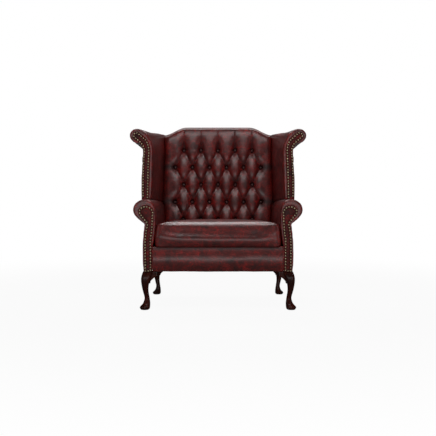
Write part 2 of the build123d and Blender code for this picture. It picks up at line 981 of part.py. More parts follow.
spring_xs = [spring_pitch * (index - (spring_count - 1) / 2) for index in range(spring_count)]
springs = [zigzag_spring(x) for x in spring_xs]
clip_spots = [(spring_front, front_rail_top), (spring_rear, rear_rail_top)]
clips = [spring_clip(x, distance, foot) for x in spring_xs for distance, foot in clip_spots]

# Jute straps on the front of the back's rails
strap_xs = [-240.0, -120.0, 0.0, 120.0, 240.0]
strap_heights = [530.0, 650.0, 770.0, 890.0]
half_strap = strap_width / 2
upright_straps = [
    raked_bar(
        (x - half_strap, x + half_strap),
        (lower_rail_heights[0], top_rail_heights[1]),
        strap_thickness,
        rail_thickness,
    )
    for x in strap_xs
]
cross_straps = [
    raked_bar(
        (-back_rail_half_width, back_rail_half_width),
        (height - half_strap, height + half_strap),
        strap_thickness,
        rail_thickness + strap_thickness,
    )
    for height in strap_heights
]

# Front border: a padded leather panel over the front rail
border_face = 4.0         # its edges behind the arm facings, its middle bulging forward
border_corner = 5.0
border_half_width = deck_x(border_back)
border_foot = leg_height + border_lift
border_top = deck_z(border_back)
with BuildPart() as front_border:
    with BuildSketch(Plane(origin=(-border_half_width, 0, 0), x_dir=(0, 1, 0), z_dir=(1, 0, 0))):
        with BuildLine():
            ThreePointArc(
                (depth(border_face), border_foot),
                (depth(border_face - border_bulge), (border_foot + border_top - border_corner) / 2),
                (depth(border_face), border_top - border_corner),
            )
            Polyline(
                (depth(border_face), border_top - border_corner),
                (depth(border_face + border_corner), border_top),
                (depth(border_back), border_top),
                (depth(border_back), front_rail_top),
                (depth(post_front + border_thickness), front_rail_top),
                (depth(post_front + border_thickness), border_foot),
                (depth(border_face), border_foot),
            )
        make_face()
    extrude(amount=2 * border_half_width)

# Loose cushion: crowned cover round a foam core, its sides pulled in between the corners
cushion_plane = Plane(
    origin=(0, depth(-cushion_overhang), deck_z(-cushion_overhang) + soft_clearance),
    x_dir=(1, 0, 0),
    z_dir=(0, math.sin(rake), math.cos(rake)),
)
# Each entry: share of the side height, inset, and how far the sides bow outwards
cushion_side_shares = [(0, 2.2, -0.8), (0.05, 0.6, -1), (0.5, 0, 0), (0.93, 0.3, -1), (1, 1, -1)]
# Each entry: share of the crown height, and inset as a share of half the depth
cushion_crown_shares = [(0.42, 0.2), (0.78, 0.48), (1, 0.85)]


def cushion_section(height, inset, bow, corner):
    front = inset
    back = cushion_depth - inset
    near = cushion_half_width - inset
    far = cushion_rear_half_width - inset
    bend = corner * (1 - math.sqrt(0.5))
    with BuildSketch(cushion_plane.offset(height)) as section:
        with BuildLine():
            ThreePointArc((corner - near, front), (0, front - bow), (near - corner, front))
            ThreePointArc((near - corner, front), (near - bend, front + bend), (near, front + corner))
            middle = ((near + far) / 2 + bow, (front + back) / 2)
            ThreePointArc((near, front + corner), middle, (far, back - corner))
            ThreePointArc((far, back - corner), (far - bend, back - bend), (far - corner, back))
            ThreePointArc((far - corner, back), (0, back + bow), (corner - far, back))
            ThreePointArc((corner - far, back), (bend - far, back - bend), (-far, back - corner))
            ThreePointArc((-far, back - corner), (-middle[0], middle[1]), (-near, front + corner))
            ThreePointArc((-near, front + corner), (bend - near, front + bend), (corner - near, front))
        make_face()
    return section.sketch


def cushion_solid(wall):
    sections = []
    for share, inset, bow in cushion_side_shares:
        height = wall + share * (cushion_height - wall)
        pull = bow * cushion_pull - cushion_pull / 10
        sections.append(cushion_section(height, wall + inset * cushion_pull, pull, cushion_corner))
    for share, inset_share in cushion_crown_shares:
        height = cushion_height + share * (cushion_crown - wall)
        inset = wall + inset_share * (cushion_depth / 2 - wall)
        corner = cushion_corner * (1 - 0.8 * inset_share)
        sections.append(cushion_section(height, inset, -cushion_pull * (1 - inset_share), corner))
    return loft_through(sections)


cushion_core = cushion_solid(core_wall)
cushion_cover = cut(cushion_solid(0), cushion_core)

# Outside back: one leather-covered panel over the rear of the frame, nailed at its edge
panel_lap = 1.5


def on_rear_plane(x, height):
    return (x, (height - leg_height) / math.cos(rear_lean))


back_edge = back_top_z(back_half_width) - back_top_drop - panel_lap
back_panel_half = [
    (back_panel_half_width, leg_height),
    (back_panel_half_width, shoulder_height - back_edge_round - panel_lap),
    (back_panel_half_width - back_edge_round / 3, back_edge),
    (back_half_width, back_edge),
] + [
    (share * back_half_width, back_top_z(share * back_half_width) - back_top_drop - panel_lap)
    for share, _ in reversed(back_profile_shares[1:-1])
]
back_panel_points = [on_rear_plane(x, height) for x, height in back_panel_half]
back_panel_points += [(-x, up) for x, up in reversed(back_panel_points)]
with BuildSketch(rear_plane) as back_panel_face:
    Polygon(*back_panel_points, align=None)
with BuildPart() as outside_back:
    extrude(back_panel_face.sketch, amount=-panel_thickness)
back_nail_plane = Plane(
    origin=rear_plane.offset(-panel_thickness).origin,
    x_dir=(-1, 0, 0),
    z_dir=(0, math.cos(rear_lean), -math.sin(rear_lean)),
)
with BuildSketch(rear_plane.offset(-panel_thickness)) as back_nail_face:
    Polygon(*back_panel_points, align=None)
back_nails = nail_row(
    back_nail_face.sketch, back_nail_plane, lowest=leg_height + 2 * nail_diameter
)

# Dust cover: thin cloth tacked under the rails
cover_front = post_front + border_thickness
cover_rear = spring_rear
dust_cover = plan_prism(
    [
        (-deck_x(cover_front), depth(cover_front)),
        (deck_x(cover_front), depth(cover_front)),
        (deck_x(cover_rear), depth(cover_rear)),
        (-deck_x(cover_rear), depth(cover_rear)),
    ],
    (rail_foot - cloth_thickness, rail_foot),
)

# Room in the padding for the wedges that square-ended timber leaves against raked timber
block_rake = corner_thickness * math.tan(rear_lean)
rail_rake = wing_rail_height * math.tan(rear_lean)
front_rail_room = block(
    (-front_rail_x - joint_room, front_rail_x + joint_room),
    (depth(post_front + border_thickness), depth(post_front + post_depth)),
    (rail_foot, front_rail_top),
)
rear_block_room = block(
    (rear_corner[0] - corner_leg, rear_corner[0] + joint_room),
    (rear_corner_y - joint_room, rear_corner_y + block_rake + joint_room),
    corner_heights,
)
wing_rail_room = block(
    back_post_x,
    (depth(wing_rail_end) - joint_room, depth(wing_rail_end) + rail_rake + joint_room),
    (wing_slot_top - wing_rail_height, wing_slot_top),
)

# Padded and panelled pieces, each with room for the timber inside it
timber = [
    arm_post,
    side_rail,
    arm_rail,
    back_post,
    wing_post,
    wing_rail,
    front_rail,
    rear_rail,
    back_top_rail,
    back_lower_rail,
]
inside_arm = cut(
    arm_shell,
    [arm_slot, arm_outside_zone, arm_facing, front_rail_room, rear_block_room]
    + timber
    + blocks_right
    + screw_holes_right
    + cross_straps,
)
outside_arm = cut(arm_shell & arm_outside_zone, timber)
inside_wing = cut(
    wing_shell, [wing_slot, wing_outside_zone, wing_facing, wing_rail_room] + timber + cross_straps
)
outside_wing = cut(wing_shell & wing_outside_zone, timber)
front_leg = cut(whole_leg(front_leg_spot, False, 1, 1), bolt_holes)
rear_leg = cut(whole_leg(rear_leg_spot, True, rear_leg_size, rear_leg_curve), bolt_holes)
screw_holes = both_sides(screw_holes_right)

# Pieces that come in pairs
keep_pair(front_leg, "front_leg")
keep_pair(rear_leg, "rear_leg")
keep_pair(cut(arm_post, bolt_holes), "arm_post")
keep_pair(cut(side_rail, screw_holes_right), "seat_rail")
keep_pair(arm_rail, "arm_rail")
keep_pair(cut(back_post, bolt_holes), "back_post")
keep_pair(wing_post, "wing_post")
keep_pair(wing_rail, "wing_rail")
keep_pair(inside_arm, "inside_arm")
keep_pair(outside_arm, "outside_arm")
keep_pair(arm_facing, "arm_facing")
keep_pair(arm_nails, "arm_facing_nails")
keep_pair(inside_wing, "inside_wing")
keep_pair(outside_wing, "outside_wing")
keep_pair(wing_facing, "wing_facing")
keep_pair(wing_nails, "wing_facing_nails")

# Pieces on the middle of the seat, and groups of like pieces
keep(cut(front_rail, screw_holes), "seat_rail_front")
keep(cut(rear_rail, screw_holes), "seat_rail_rear")
keep(back_top_rail, "back_top_rail")
keep(back_lower_rail, "back_lower_rail")
keep(Compound(children=both_sides(blocks_right)), "corner_blocks")
keep(Compound(children=both_sides(screws_right)), "corner_block_screws")
keep(Compound(children=both_sides(bolts_right)), "leg_bolts")
keep(Compound(children=springs), "seat_springs")
keep(Compound(children=clips), "spring_clips")
keep(Compound(children=upright_straps + cross_straps), "back_webbing")
keep(seat_platform, "seat_platform")
keep(front_border.part, "front_border")
keep(dust_cover, "dust_cover")
keep(cushion_cover, "seat_cushion")
keep(cushion_core, "cushion_core")
keep(inside_back, "inside_back")
keep(buttons, "back_buttons")
keep(outside_back.part, "outside_back")
keep(back_nails, "outside_back_nails")
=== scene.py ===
"""Looks of the wing loveseat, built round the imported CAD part."""
import json
import math

import bmesh
import bpy
import numpy as np
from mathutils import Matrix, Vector, kdtree, noise
from mathutils.bvhtree import BVHTree

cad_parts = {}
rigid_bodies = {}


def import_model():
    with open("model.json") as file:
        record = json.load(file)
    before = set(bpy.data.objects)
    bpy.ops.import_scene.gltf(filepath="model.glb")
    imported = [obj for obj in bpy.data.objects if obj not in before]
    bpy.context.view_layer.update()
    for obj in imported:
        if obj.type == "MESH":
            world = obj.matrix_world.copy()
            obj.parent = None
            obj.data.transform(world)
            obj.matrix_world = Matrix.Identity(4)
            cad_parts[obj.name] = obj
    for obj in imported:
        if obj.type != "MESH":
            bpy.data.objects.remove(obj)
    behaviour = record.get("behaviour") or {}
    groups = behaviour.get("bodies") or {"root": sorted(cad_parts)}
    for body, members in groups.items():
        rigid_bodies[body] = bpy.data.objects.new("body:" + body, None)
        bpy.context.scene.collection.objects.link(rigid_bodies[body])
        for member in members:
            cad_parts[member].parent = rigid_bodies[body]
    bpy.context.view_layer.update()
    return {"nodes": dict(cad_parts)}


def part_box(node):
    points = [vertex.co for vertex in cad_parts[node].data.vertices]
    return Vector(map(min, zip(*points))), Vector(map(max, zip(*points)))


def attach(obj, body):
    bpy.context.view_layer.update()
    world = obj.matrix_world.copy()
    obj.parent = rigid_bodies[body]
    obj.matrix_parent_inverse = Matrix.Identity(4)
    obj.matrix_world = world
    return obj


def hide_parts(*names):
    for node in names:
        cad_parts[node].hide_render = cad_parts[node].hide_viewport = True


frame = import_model()
nodes = frame["nodes"]


# Buttoned back: one hide over deep padding, drawn in by 27 covered buttons.
# The hide is folded into pleats from button to button and runs over the top of the frame; painted shade
# darkens its pleats and the leather round the buttons.
facing_y = -0.38703  # plane of the arm facings
back_half_width = 0.3397
back_height = 1.0971
back_lean = math.radians(12.0)
frame_lean = math.radians(9.8)
button_depth, button_height = 0.580, 0.490  # a point of the buttons' plane: behind the facings, up
button_pitch, row_pitch = 0.1115, 0.112 / math.cos(back_lean)
middle_height = 0.718  # of the middle row of buttons
middle_row = (middle_height - button_height) / math.cos(back_lean)
button_rows = (5, 6, 5, 6, 5)
outer_button = 2.5 * button_pitch
tuft_rise, pleat_lift = 0.038, 0.025
well_radius, well_wall, well_depth = 0.0155, 0.005, 0.0042
gather_rise, gather_place, gather_reach, gather_count = 0.0007, 0.02, 0.012, 7
top_curve = [(0, 0), (0.63, 0), (0.69, 0.05), (0.80, 0.36), (0.90, 0.73), (0.96, 0.93), (1, 1)]
top_fall, top_fullness, top_blur = 0.053, 0.003, 0.03
top_rise, roll_share = 0.020, 0.93
pad_foot, board_top = 0.3335, 1.0165
board_gap, pad_gap = 0.0315, 0.0006  # before the frame's rear plane: behind the pad, and over its top
frame_depth, frame_foot = 0.632, 0.222  # a point of the frame's rear plane
columns, rows_per_pitch = 390, 32


def mesh_object(name, points, faces):
    """Closed, smooth-shaded object from arrays of points and faces."""
    mesh = bpy.data.meshes.new(name)
    mesh.from_pydata([tuple(p) for p in points], [], faces)
    mesh.validate()
    work = bmesh.new()
    work.from_mesh(mesh)
    bmesh.ops.recalc_face_normals(work, faces=work.faces)
    work.to_mesh(mesh)
    work.free()
    mesh.polygons.foreach_set("use_smooth", [True] * len(mesh.polygons))
    made = bpy.data.objects.new(name, mesh)
    bpy.context.scene.collection.objects.link(made)
    return made


def points_of(piece):
    flat = np.zeros(len(piece.data.vertices) * 3)
    piece.data.vertices.foreach_get("co", flat)
    return flat.reshape(-1, 3)


def move_points(piece, points):
    piece.data.vertices.foreach_set("co", np.asarray(points, float).ravel())
    piece.data.update()


def normals_of(piece):
    flat = np.zeros(len(piece.data.vertices) * 3)
    piece.data.vertex_normals.foreach_get("vector", flat)
    return flat.reshape(-1, 3)


def ripple(points, scale, seed):
    """Smooth noise at every point, from -1 to 1."""
    shift = Vector((seed * 3.1, seed * 7.7, seed * 1.3))
    return np.array([noise.noise(Vector(p) * scale + shift) for p in points])


def mark(piece, name, values):
    layer = piece.data.attributes.get(name) or piece.data.attributes.new(name, "FLOAT", "POINT")
    layer.data.foreach_set("value", np.clip(values, 0, 1).astype(np.float32))


def mark_form(piece, reach, rounds, darker=0.0):
    """Marks hollows for painted shade and ridges as worn, from the bend of the surface; darker adds
    painted shade and takes from the wear.
    """
    mesh = piece.data
    points, normals = points_of(piece), normals_of(piece)
    ends = np.zeros(len(mesh.edges) * 2, int)
    mesh.edges.foreach_get("vertices", ends)
    a, b = ends.reshape(-1, 2).T
    count = np.bincount(a, minlength=len(points)) + np.bincount(b, minlength=len(points))
    count = np.maximum(count, 1)

    def around(values):
        total = np.bincount(a, values[b], len(points)) + np.bincount(b, values[a], len(points))
        return total / count

    middle = np.stack([around(points[:, axis]) for axis in range(3)], 1)
    bend = ((middle - points) * normals).sum(1) / reach
    for _ in range(rounds):
        bend = (bend + around(bend)) / 2
    # Painted shade: the leather darkens its hollows by this mark.
    mark(piece, "crease_shade", bend + darker)
    mark(piece, "worn", -bend - darker)


def eased(share):
    """Smooth step of a share from 0 to 1."""
    share = np.clip(share, 0, 1)
    return share * share * (3 - 2 * share)


def top_height(x):
    """Height of the pad's top, which falls in a curve towards the wings."""
    shares, drops = zip(*top_curve)
    places = np.abs(x) / back_half_width
    drop = sum(np.interp(places + step, shares, drops) for step in (-top_blur, 0, top_blur)) / 3
    return back_height + top_fullness - top_fall * drop


def pleated(share):
    """Rise of a diamond from the fold over its upper edge (0) to its lower edge (1)."""
    crest_share = 0.54
    rise, drop = np.clip(share / crest_share, 0, 1), np.clip((1 - share) / (1 - crest_share), 0, 1)
    return (1 - (1 - rise) ** 1.6) * (1 - (1 - drop) ** 3.2)


def tuft_height(x, along):
    """Height of the padding over the buttons' plane, and masks of the painted shade along the pleats and
    round the buttons.
    """
    across = np.clip(x / (button_pitch / 2), -5, 5)
    up = np.clip((along - middle_row) / row_pitch, -2, 2)
    u, v = (across + up) / 2, (across - up) / 2
    su, sv = np.abs(np.sin(np.pi * u)), np.abs(np.sin(np.pi * v))
    from_right, from_left = 1 - (u - np.floor(u)), v - np.floor(v)
    dome = pleated(from_right) * pleated(from_left)
    ridge = np.sqrt((su**2 + sv**2) / 2)
    near_button = np.clip(1 - np.sqrt(su**2 + sv**2) / 0.70, 0, 1) ** 0.8
    height = pleat_lift * (1 - (1 - ridge) ** 2) + (tuft_rise - pleat_lift) * dome
    flat_rise, flat_share = 0.84 * tuft_rise, 0.96
    flat_start, flat_reach = outer_button - 0.012, 0.046
    height = height + (flat_rise - height) * flat_share * eased((np.abs(x) - flat_start) / flat_reach)
    # Painted shade masks: thin along each fold, and wider along the lower folds of each diamond.
    fold = np.minimum(su, sv)
    under = np.minimum(np.where(from_right > 0.5, su, 1), np.where(from_left > 0.5, sv, 1))
    pleat = 0.55 * np.exp(-((fold / 0.07) ** 2)) + 0.45 * np.exp(-((under / 0.30) ** 2))
    return height, pleat, near_button


buttons = np.array(
    [
        (button_pitch * (place - (count - 1) / 2), middle_row + (2 - row) * row_pitch)
        for row, count in enumerate(button_rows)
        for place in range(count)
    ]
)


def button_dent(x, along):
    """Well under each button, with small gathers that run out from it."""
    dent = np.zeros_like(x)
    gather = np.zeros_like(x)
    for bx, ba in buttons:
        dx, da = x - bx, along - ba
        away = np.hypot(dx, da)
        angle = np.arctan2(da, dx)
        dent = np.maximum(dent, np.clip((well_radius - away) / well_wall, 0, 1))
        spokes = np.cos(gather_count * angle + bx * 90)
        gather += gather_rise * spokes * np.exp(-(((away - gather_place) / gather_reach) ** 2))
    return dent, gather


xs = np.linspace(-back_half_width, back_half_width, columns + 1)
steps = np.arange(-3 * rows_per_pitch, 2 * rows_per_pitch + 1)
lattice = middle_row + row_pitch * steps / rows_per_pitch
low_along = (pad_foot - button_height) / math.cos(back_lean)
lattice = np.concatenate([[low_along], lattice[lattice > low_along + 0.001]])
top_along = lattice[-1]
rise_steps = 1 - (1 - np.linspace(0, 1, 61)[1:]) ** 1.6
fade_start, edge_share = 0.302, 0.12
side_fade = np.clip((np.abs(xs) - fade_start) / (back_half_width - fade_start), 0, 1)
side_fade = edge_share + (1 - edge_share) * (1 - side_fade**2.6) ** 0.45


def back_point(x, along, out):
    """Places over the buttons' plane, from their run up it and their height over it."""
    y = facing_y + button_depth + along * math.sin(back_lean) - out * math.cos(back_lean)
    z = button_height + along * math.cos(back_lean) + out * math.sin(back_lean)
    return np.stack([x, y, z], -1)


def rear_y(z, before=0.0):
    """Depth of the frame's rear plane at a height, or of a plane before it."""
    plane = facing_y + frame_depth + (z - frame_foot) * math.tan(frame_lean)
    return plane - before / math.cos(frame_lean)


# creases holds the painted shade of the hide: darker in the pleats, round the buttons, in their wells and
# in the grooves over the top.
loops = []
creases = []
for along in lattice:
    level = np.full_like(xs, along)
    height, pleat, near = tuft_height(xs, level)
    dent, gather = button_dent(xs, level)
    height = height * side_fade * (1 - dent) - well_depth * dent + gather
    loops.append(back_point(xs, level, height))
    creases.append(np.maximum(pleat * 0.8, near) + 0.4 * dent)
tops = top_height(xs)
top_alongs = (tops - top_rise - button_height) / math.cos(back_lean)
end_height, end_pleat, end_near = tuft_height(xs, np.full_like(xs, top_along))
full_rise, groove_depth, top_groove_depth = 0.93 * tuft_rise, 0.0022, 0.0016
off_pleat = np.sin(np.pi * np.clip(xs / button_pitch, -2.4, 2.4))
groove = np.exp(-((off_pleat / 0.07) ** 2))
for step in rise_steps:
    level = top_along + step * (top_alongs - top_along)
    fade = eased(step / 0.75)
    height = end_height + (full_rise - end_height) * 0.86 * fade
    height = height - groove_depth * fade * groove
    dent, gather = button_dent(xs, level)
    height = height * side_fade * (1 - dent) - well_depth * dent + gather * (1 - fade)
    height = height * (1 - (roll_share * step) ** 3.2) ** (1 / 2.6)
    loops.append(back_point(xs, level, height))
    pleat, near = end_pleat * (0.8 - 0.45 * fade), end_near * (1 - fade) * 0.9
    creases.append(np.maximum(pleat, near) + 0.3 * dent)
start = back_point(xs, top_alongs, height)
for step in np.linspace(0, 1, 15)[1:]:
    climb = math.sin(math.pi / 2 * min(step / 0.8, 1)) - 0.5 * max((step - 0.8) / 0.2, 0) ** 2
    z = start[:, 2] + (tops - start[:, 2]) * climb
    y = start[:, 1] + (rear_y(tops - top_rise / 2, pad_gap) - start[:, 1]) * step
    loops.append(np.stack([xs, y, z - top_groove_depth * groove * (1 - step)], -1))
    creases.append(0.35 * groove * (1 - step))
rear_levels = [(board_top, pad_gap)]
rear_levels += [(z, board_gap) for z in (board_top, 0.80, 0.60, 0.40, pad_foot)]
for z, before in rear_levels:
    level = np.full_like(xs, z)
    loops.append(np.stack([xs, rear_y(level, before), level], -1))
    creases.append(np.zeros_like(xs))

ring = len(loops)
back_points = np.stack(loops, 1).reshape(-1, 3)
back_faces = []
for column in range(columns):
    middle_x = (xs[column] + xs[column + 1]) / 2
    across = min(max(middle_x / (button_pitch / 2), -5), 5)
    for row in range(ring):
        after = (row + 1) % ring
        a, b = column * ring + row, (column + 1) * ring + row
        c, d = (column + 1) * ring + after, column * ring + after
        if row < len(lattice) - 1:
            up = ((lattice[row] + lattice[row + 1]) / 2 - middle_row) / row_pitch
            up = min(max(up, -2), 2)
            u, v = (across + up) / 2, (across - up) / 2
            if abs(v - round(v)) < abs(u - round(u)):
                back_faces += [(a, b, c), (a, c, d)]
            else:
                back_faces += [(a, b, d), (b, c, d)]
        else:
            back_faces.append((a, b, c, d))
back_faces.append(tuple(range(ring)))
back_faces.append(tuple(columns * ring + row for row in range(ring)))
buttoned_back = mesh_object("buttoned_back", back_points, back_faces)
hide_swell, hide_ripple = 0.0012, 0.0004
undulation = ripple(back_points, 9, 1) * hide_swell + ripple(back_points, 34, 2) * hide_ripple
front_share = np.clip((rear_y(back_points[:, 2], board_gap) - back_points[:, 1]) / 0.02, 0, 1)
swell = normals_of(buttoned_back) * (undulation * front_share)[:, None]
move_points(buttoned_back, back_points + swell)
mark_form(buttoned_back, reach=0.0006, rounds=2)
# Painted shade in the pleats and round the buttons replaces the mark taken from the bend.
fold_shade_map = np.stack(creases, 1).ravel()
mark(buttoned_back, "crease_shade", fold_shade_map * 0.9)


# The shader sums and the antiqued leather that every covered piece shares.
# Aniline-dyed hide: dark brown over oxblood red, rubbed back on ridges, with fine red veins, and painted
# shade darkening its hollows and folds.
class Tap:
    """A socket whose sums become Math nodes."""

    def __init__(self, tree, socket):
        self.tree, self.socket = tree, socket

    def sum(self, operation, *values):
        return add_node(self.tree, "ShaderNodeMath", {"operation": operation}, dict(enumerate(values)))

    def __add__(self, other):
        return self.sum("ADD", self, other)

    def __radd__(self, other):
        return self.sum("ADD", other, self)

    def __sub__(self, other):
        return self.sum("SUBTRACT", self, other)

    def __rsub__(self, other):
        return self.sum("SUBTRACT", other, self)

    def __mul__(self, other):
        return self.sum("MULTIPLY", self, other)

    def __rmul__(self, other):
        return self.sum("MULTIPLY", other, self)

    def step(self, low, high):
        """Smooth step from 0 at low to 1 at high."""
        limits = {0: self, 1: low, 2: high, 3: 0.0, 4: 1.0}
        return add_node(self.tree, "ShaderNodeMapRange", {"interpolation_type": "SMOOTHSTEP"}, limits)


def add_node(tree, kind, settings=(), inputs=(), output=0):
    """Output of a new node: its settings are set first, then the values or links of its sockets."""
    made = tree.nodes.new(kind)
    for key, value in dict(settings).items():
        setattr(made, key, value)
    for key, value in dict(inputs).items():
        if isinstance(value, Tap):
            tree.links.new(value.socket, made.inputs[key])
        else:
            made.inputs[key].default_value = value
    return Tap(tree, made.outputs[output])


class Finish:
    """A material with its shader and the nodes that its looks are made of."""

    def __init__(self, name):
        self.material = bpy.data.materials.new(name)
        self.material.use_nodes = True
        self.tree = self.material.node_tree
        self.shader = self.tree.nodes["Principled BSDF"]
        self.place = self.node("ShaderNodeTexCoord", output="Object")

    def node(self, kind, settings=(), inputs=(), output=0):
        return add_node(self.tree, kind, settings, inputs, output)

    def noise(self, scale, detail=3.0, rough=0.55, place=None, output=0, stretch=None):
        place = place or self.place
        if stretch:
            place = self.node("ShaderNodeMapping", {}, {0: place, 3: stretch})
        sizes = {"Vector": place, "Scale": scale, "Detail": detail, "Roughness": rough}
        return self.node("ShaderNodeTexNoise", {}, sizes, output)

    def blend(self, share, first, second):
        kind = {"data_type": "RGBA", "blend_type": "MIX", "clamp_factor": True}
        return self.node("ShaderNodeMix", kind, {0: share, 6: first, 7: second}, 2)

    def attribute(self, name):
        return self.node("ShaderNodeAttribute", {"attribute_name": name}, {}, "Fac")

    def set(self, **values):
        for key, value in values.items():
            socket = self.shader.inputs[key.replace("_", " ")]
            if isinstance(value, Tap):
                self.tree.links.new(value.socket, socket)
            else:
                socket.default_value = value

    def bump(self, height, distance, strength=1.0, under=None):
        inputs = {"Height": height, "Distance": distance, "Strength": strength}
        if under:
            inputs["Normal"] = under
        return self.node("ShaderNodeBump", {}, inputs)


def antiqued_leather(name, deep, red, vein, veins=1.0, rough=0.35, gloss=0.36):
    """Leather of three dyes; veins sets how much the red lines show."""
    hide = Finish(name)
    hide.place = hide.node("ShaderNodeMapping", {}, {0: hide.place, 3: (1.0, 0.5, 1.0)})
    warp = hide.noise(14.0, 3.0, output=1)
    bent = hide.node("ShaderNodeMix", {"data_type": "VECTOR"}, {0: 0.055, 4: hide.place, 5: warp}, 1)
    cloud = hide.noise(15.0, 6.0, 0.66)
    mottle = hide.noise(46.0, 7.0, 0.72, bent)
    edges = {"feature": "DISTANCE_TO_EDGE"}
    cracks = hide.node("ShaderNodeTexVoronoi", edges, {"Vector": bent, "Scale": 34.0})
    fine_cracks = hide.node("ShaderNodeTexVoronoi", edges, {"Vector": bent, "Scale": 92.0})
    patches = hide.noise(19.0, 4.0, 0.6).step(0.42, 0.66)
    line = (1 - cracks.step(0.0, 0.06)) * patches
    line = line + (1 - fine_cracks.step(0.0, 0.10)) * patches * 0.55
    speck = hide.noise(170.0, 4.0, 0.7).step(0.5, 0.7)
    crease_shade, worn = hide.attribute("crease_shade"), hide.attribute("worn")
    tone = hide.blend(cloud.step(0.32, 0.62), (*deep, 1), (*red, 1))
    tone = hide.blend(mottle.step(0.47, 0.74) * 0.62, tone, (*vein, 1))
    tone = hide.blend(line * veins * (0.45 + 0.55 * speck), tone, (*[c * 1.25 for c in vein], 1))
    tone = hide.blend(worn.step(0.15, 1.0) * 0.22, tone, (*[c * 1.15 for c in vein], 1))
    # Painted shade: hollows and folds are darkened towards a darker copy of the deep dye.
    tone = hide.blend(crease_shade.step(0.08, 0.95) * 0.86, tone, (*[c * 0.35 for c in deep], 1))
    pores = hide.node("ShaderNodeTexVoronoi", {}, {"Vector": bent, "Scale": 620.0})
    creasing = hide.noise(150.0, 5.0, 0.6, bent)
    grain = hide.bump(pores * 0.6 + creasing * 0.7, 0.0005, 0.35)
    grain = hide.bump(mottle, 0.0012, 0.14, grain)
    polish = rough - 0.05 * worn.step(0.1, 0.9) + 0.28 * crease_shade + 0.10 * (mottle - 0.5)
    hide.set(Base_Color=tone, Roughness=polish, Normal=grain)
    hide.set(Coat_Weight=0.14 * gloss, Coat_Roughness=0.30, Specular_IOR_Level=gloss)
    return hide.material


leather = antiqued_leather(
    "oxblood_leather", (0.0250, 0.0040, 0.0035), (0.066, 0.0056, 0.0046), (0.250, 0.0086, 0.0066)
)
buttoned_back.data.materials.append(leather)
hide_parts("inside_back")
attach(buttoned_back, "frame")


# Buttons: domes covered in the same hide, tied through the padding with twine.
# They take a darker and duller copy of the hide; its darker dyes are painted shade.
shaded_button_leather = antiqued_leather(
    "button_leather",
    deep=(0.012, 0.0030, 0.0026),
    red=(0.034, 0.0045, 0.004),
    vein=(0.09, 0.006, 0.005),
    veins=0.5,
    rough=0.58,
)
nodes["back_buttons"].data.materials.clear()
nodes["back_buttons"].data.materials.append(shaded_button_leather)


# Arms and wings: hide over wadding on the timber, rolled outwards into scrolls.
# The inside is padded and the outside is a plain panel, and both are pulled to the facings.
def sewn_copy(name, node, voxel, rounds):
    """Soft copy of a CAD solid, its edges rounded as padding rounds them."""
    work = bmesh.new()
    work.from_mesh(nodes[node].data)
    bmesh.ops.remove_doubles(work, verts=work.verts, dist=1e-5)
    mesh = bpy.data.meshes.new(name + "_rough")
    work.to_mesh(mesh)
    work.free()
    rough = bpy.data.objects.new(name + "_rough", mesh)
    bpy.context.scene.collection.objects.link(rough)
    net = rough.modifiers.new("net", "REMESH")
    net.mode, net.voxel_size, net.use_smooth_shade = "VOXEL", voxel, True
    ease = rough.modifiers.new("ease", "SMOOTH")
    ease.factor, ease.iterations = 0.5, rounds
    graph = bpy.context.evaluated_depsgraph_get()
    made = bpy.data.objects.new(name, bpy.data.meshes.new_from_object(rough.evaluated_get(graph)))
    bpy.context.scene.collection.objects.link(made)
    bpy.data.objects.remove(rough)
    made.data.materials.clear()
    return made


def solid_centres(node):
    """Middle of every separate solid of a CAD node, in the order of the mesh."""
    work = bmesh.new()
    work.from_mesh(nodes[node].data)
    bmesh.ops.remove_doubles(work, verts=work.verts, dist=1e-5)
    left, centres = set(work.verts), []
    for first in work.verts:
        if first not in left:
            continue
        left.remove(first)
        group, edge = [], [first]
        while edge:
            corner = edge.pop()
            group.append(corner)
            for link in corner.link_edges:
                other = link.other_vert(corner)
                if other in left:
                    left.remove(other)
                    edge.append(other)
        spots = np.array([v.co for v in group])
        centres.append((spots.min(0) + spots.max(0)) / 2)
    work.free()
    return np.array(centres)


def nearness(points, spots):
    """Distance from every point to the nearest spot."""
    tree = kdtree.KDTree(len(spots))
    for place, spot in enumerate(spots):
        tree.insert(spot, place)
    tree.balance()
    return np.array([tree.find(p)[2] for p in points])


nail_places = {}
for side in ("left", "right"):
    nail_places["arm_" + side] = solid_centres(f"arm_facing_nails_{side}")
    nail_places["wing_" + side] = solid_centres(f"wing_facing_nails_{side}")
nail_places["back"] = solid_centres("outside_back_nails")


def pulled_to_nails(piece, spots, dip, reach):
    """Dimples the leather round each nail."""
    points, normals = points_of(piece), normals_of(piece)
    drop = dip * np.exp(-((nearness(points, spots) / reach) ** 2))
    move_points(piece, points - normals * drop[:, None])


# Form, part, grain of the soft copy and how often it is smoothed.
hides = [
    ("arm", "inside", 0.0042, 12),
    ("wing", "inside", 0.0042, 12),
    ("arm", "outside", 0.004, 12),
    ("wing", "outside", 0.004, 28),
]
wing_lift, lift_foot, lift_height, lift_length = 0.009, 0.93, 0.09, 0.30
wadding_swell, skin_ripple = 0.0016, 0.0006
for side in ("left", "right"):
    for form, part, voxel, rounds in hides:
        node = f"{part}_{form}_{side}"
        hide = sewn_copy(f"{form}_{part}_leather_{side}", node, voxel, rounds)
        points, normals = points_of(hide), normals_of(hide)
        if form == "wing":
            aft = np.clip(points[:, 1] / lift_length, 0, 1)
            aft = aft * np.clip((points[:, 2] - lift_foot) / lift_height, 0, 1)
            points[:, 2] += wing_lift * eased(aft)
        soft = ripple(points, 7, 5) * wadding_swell + ripple(points, 24, 6) * skin_ripple
        move_points(hide, points + normals * soft[:, None])
        pulled_to_nails(hide, nail_places[f"{form}_{side}"], dip=0.0018, reach=0.008)
        mark_form(hide, reach=0.0005, rounds=3)
        hide.data.materials.append(leather)
        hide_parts(node)
        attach(hide, "frame")


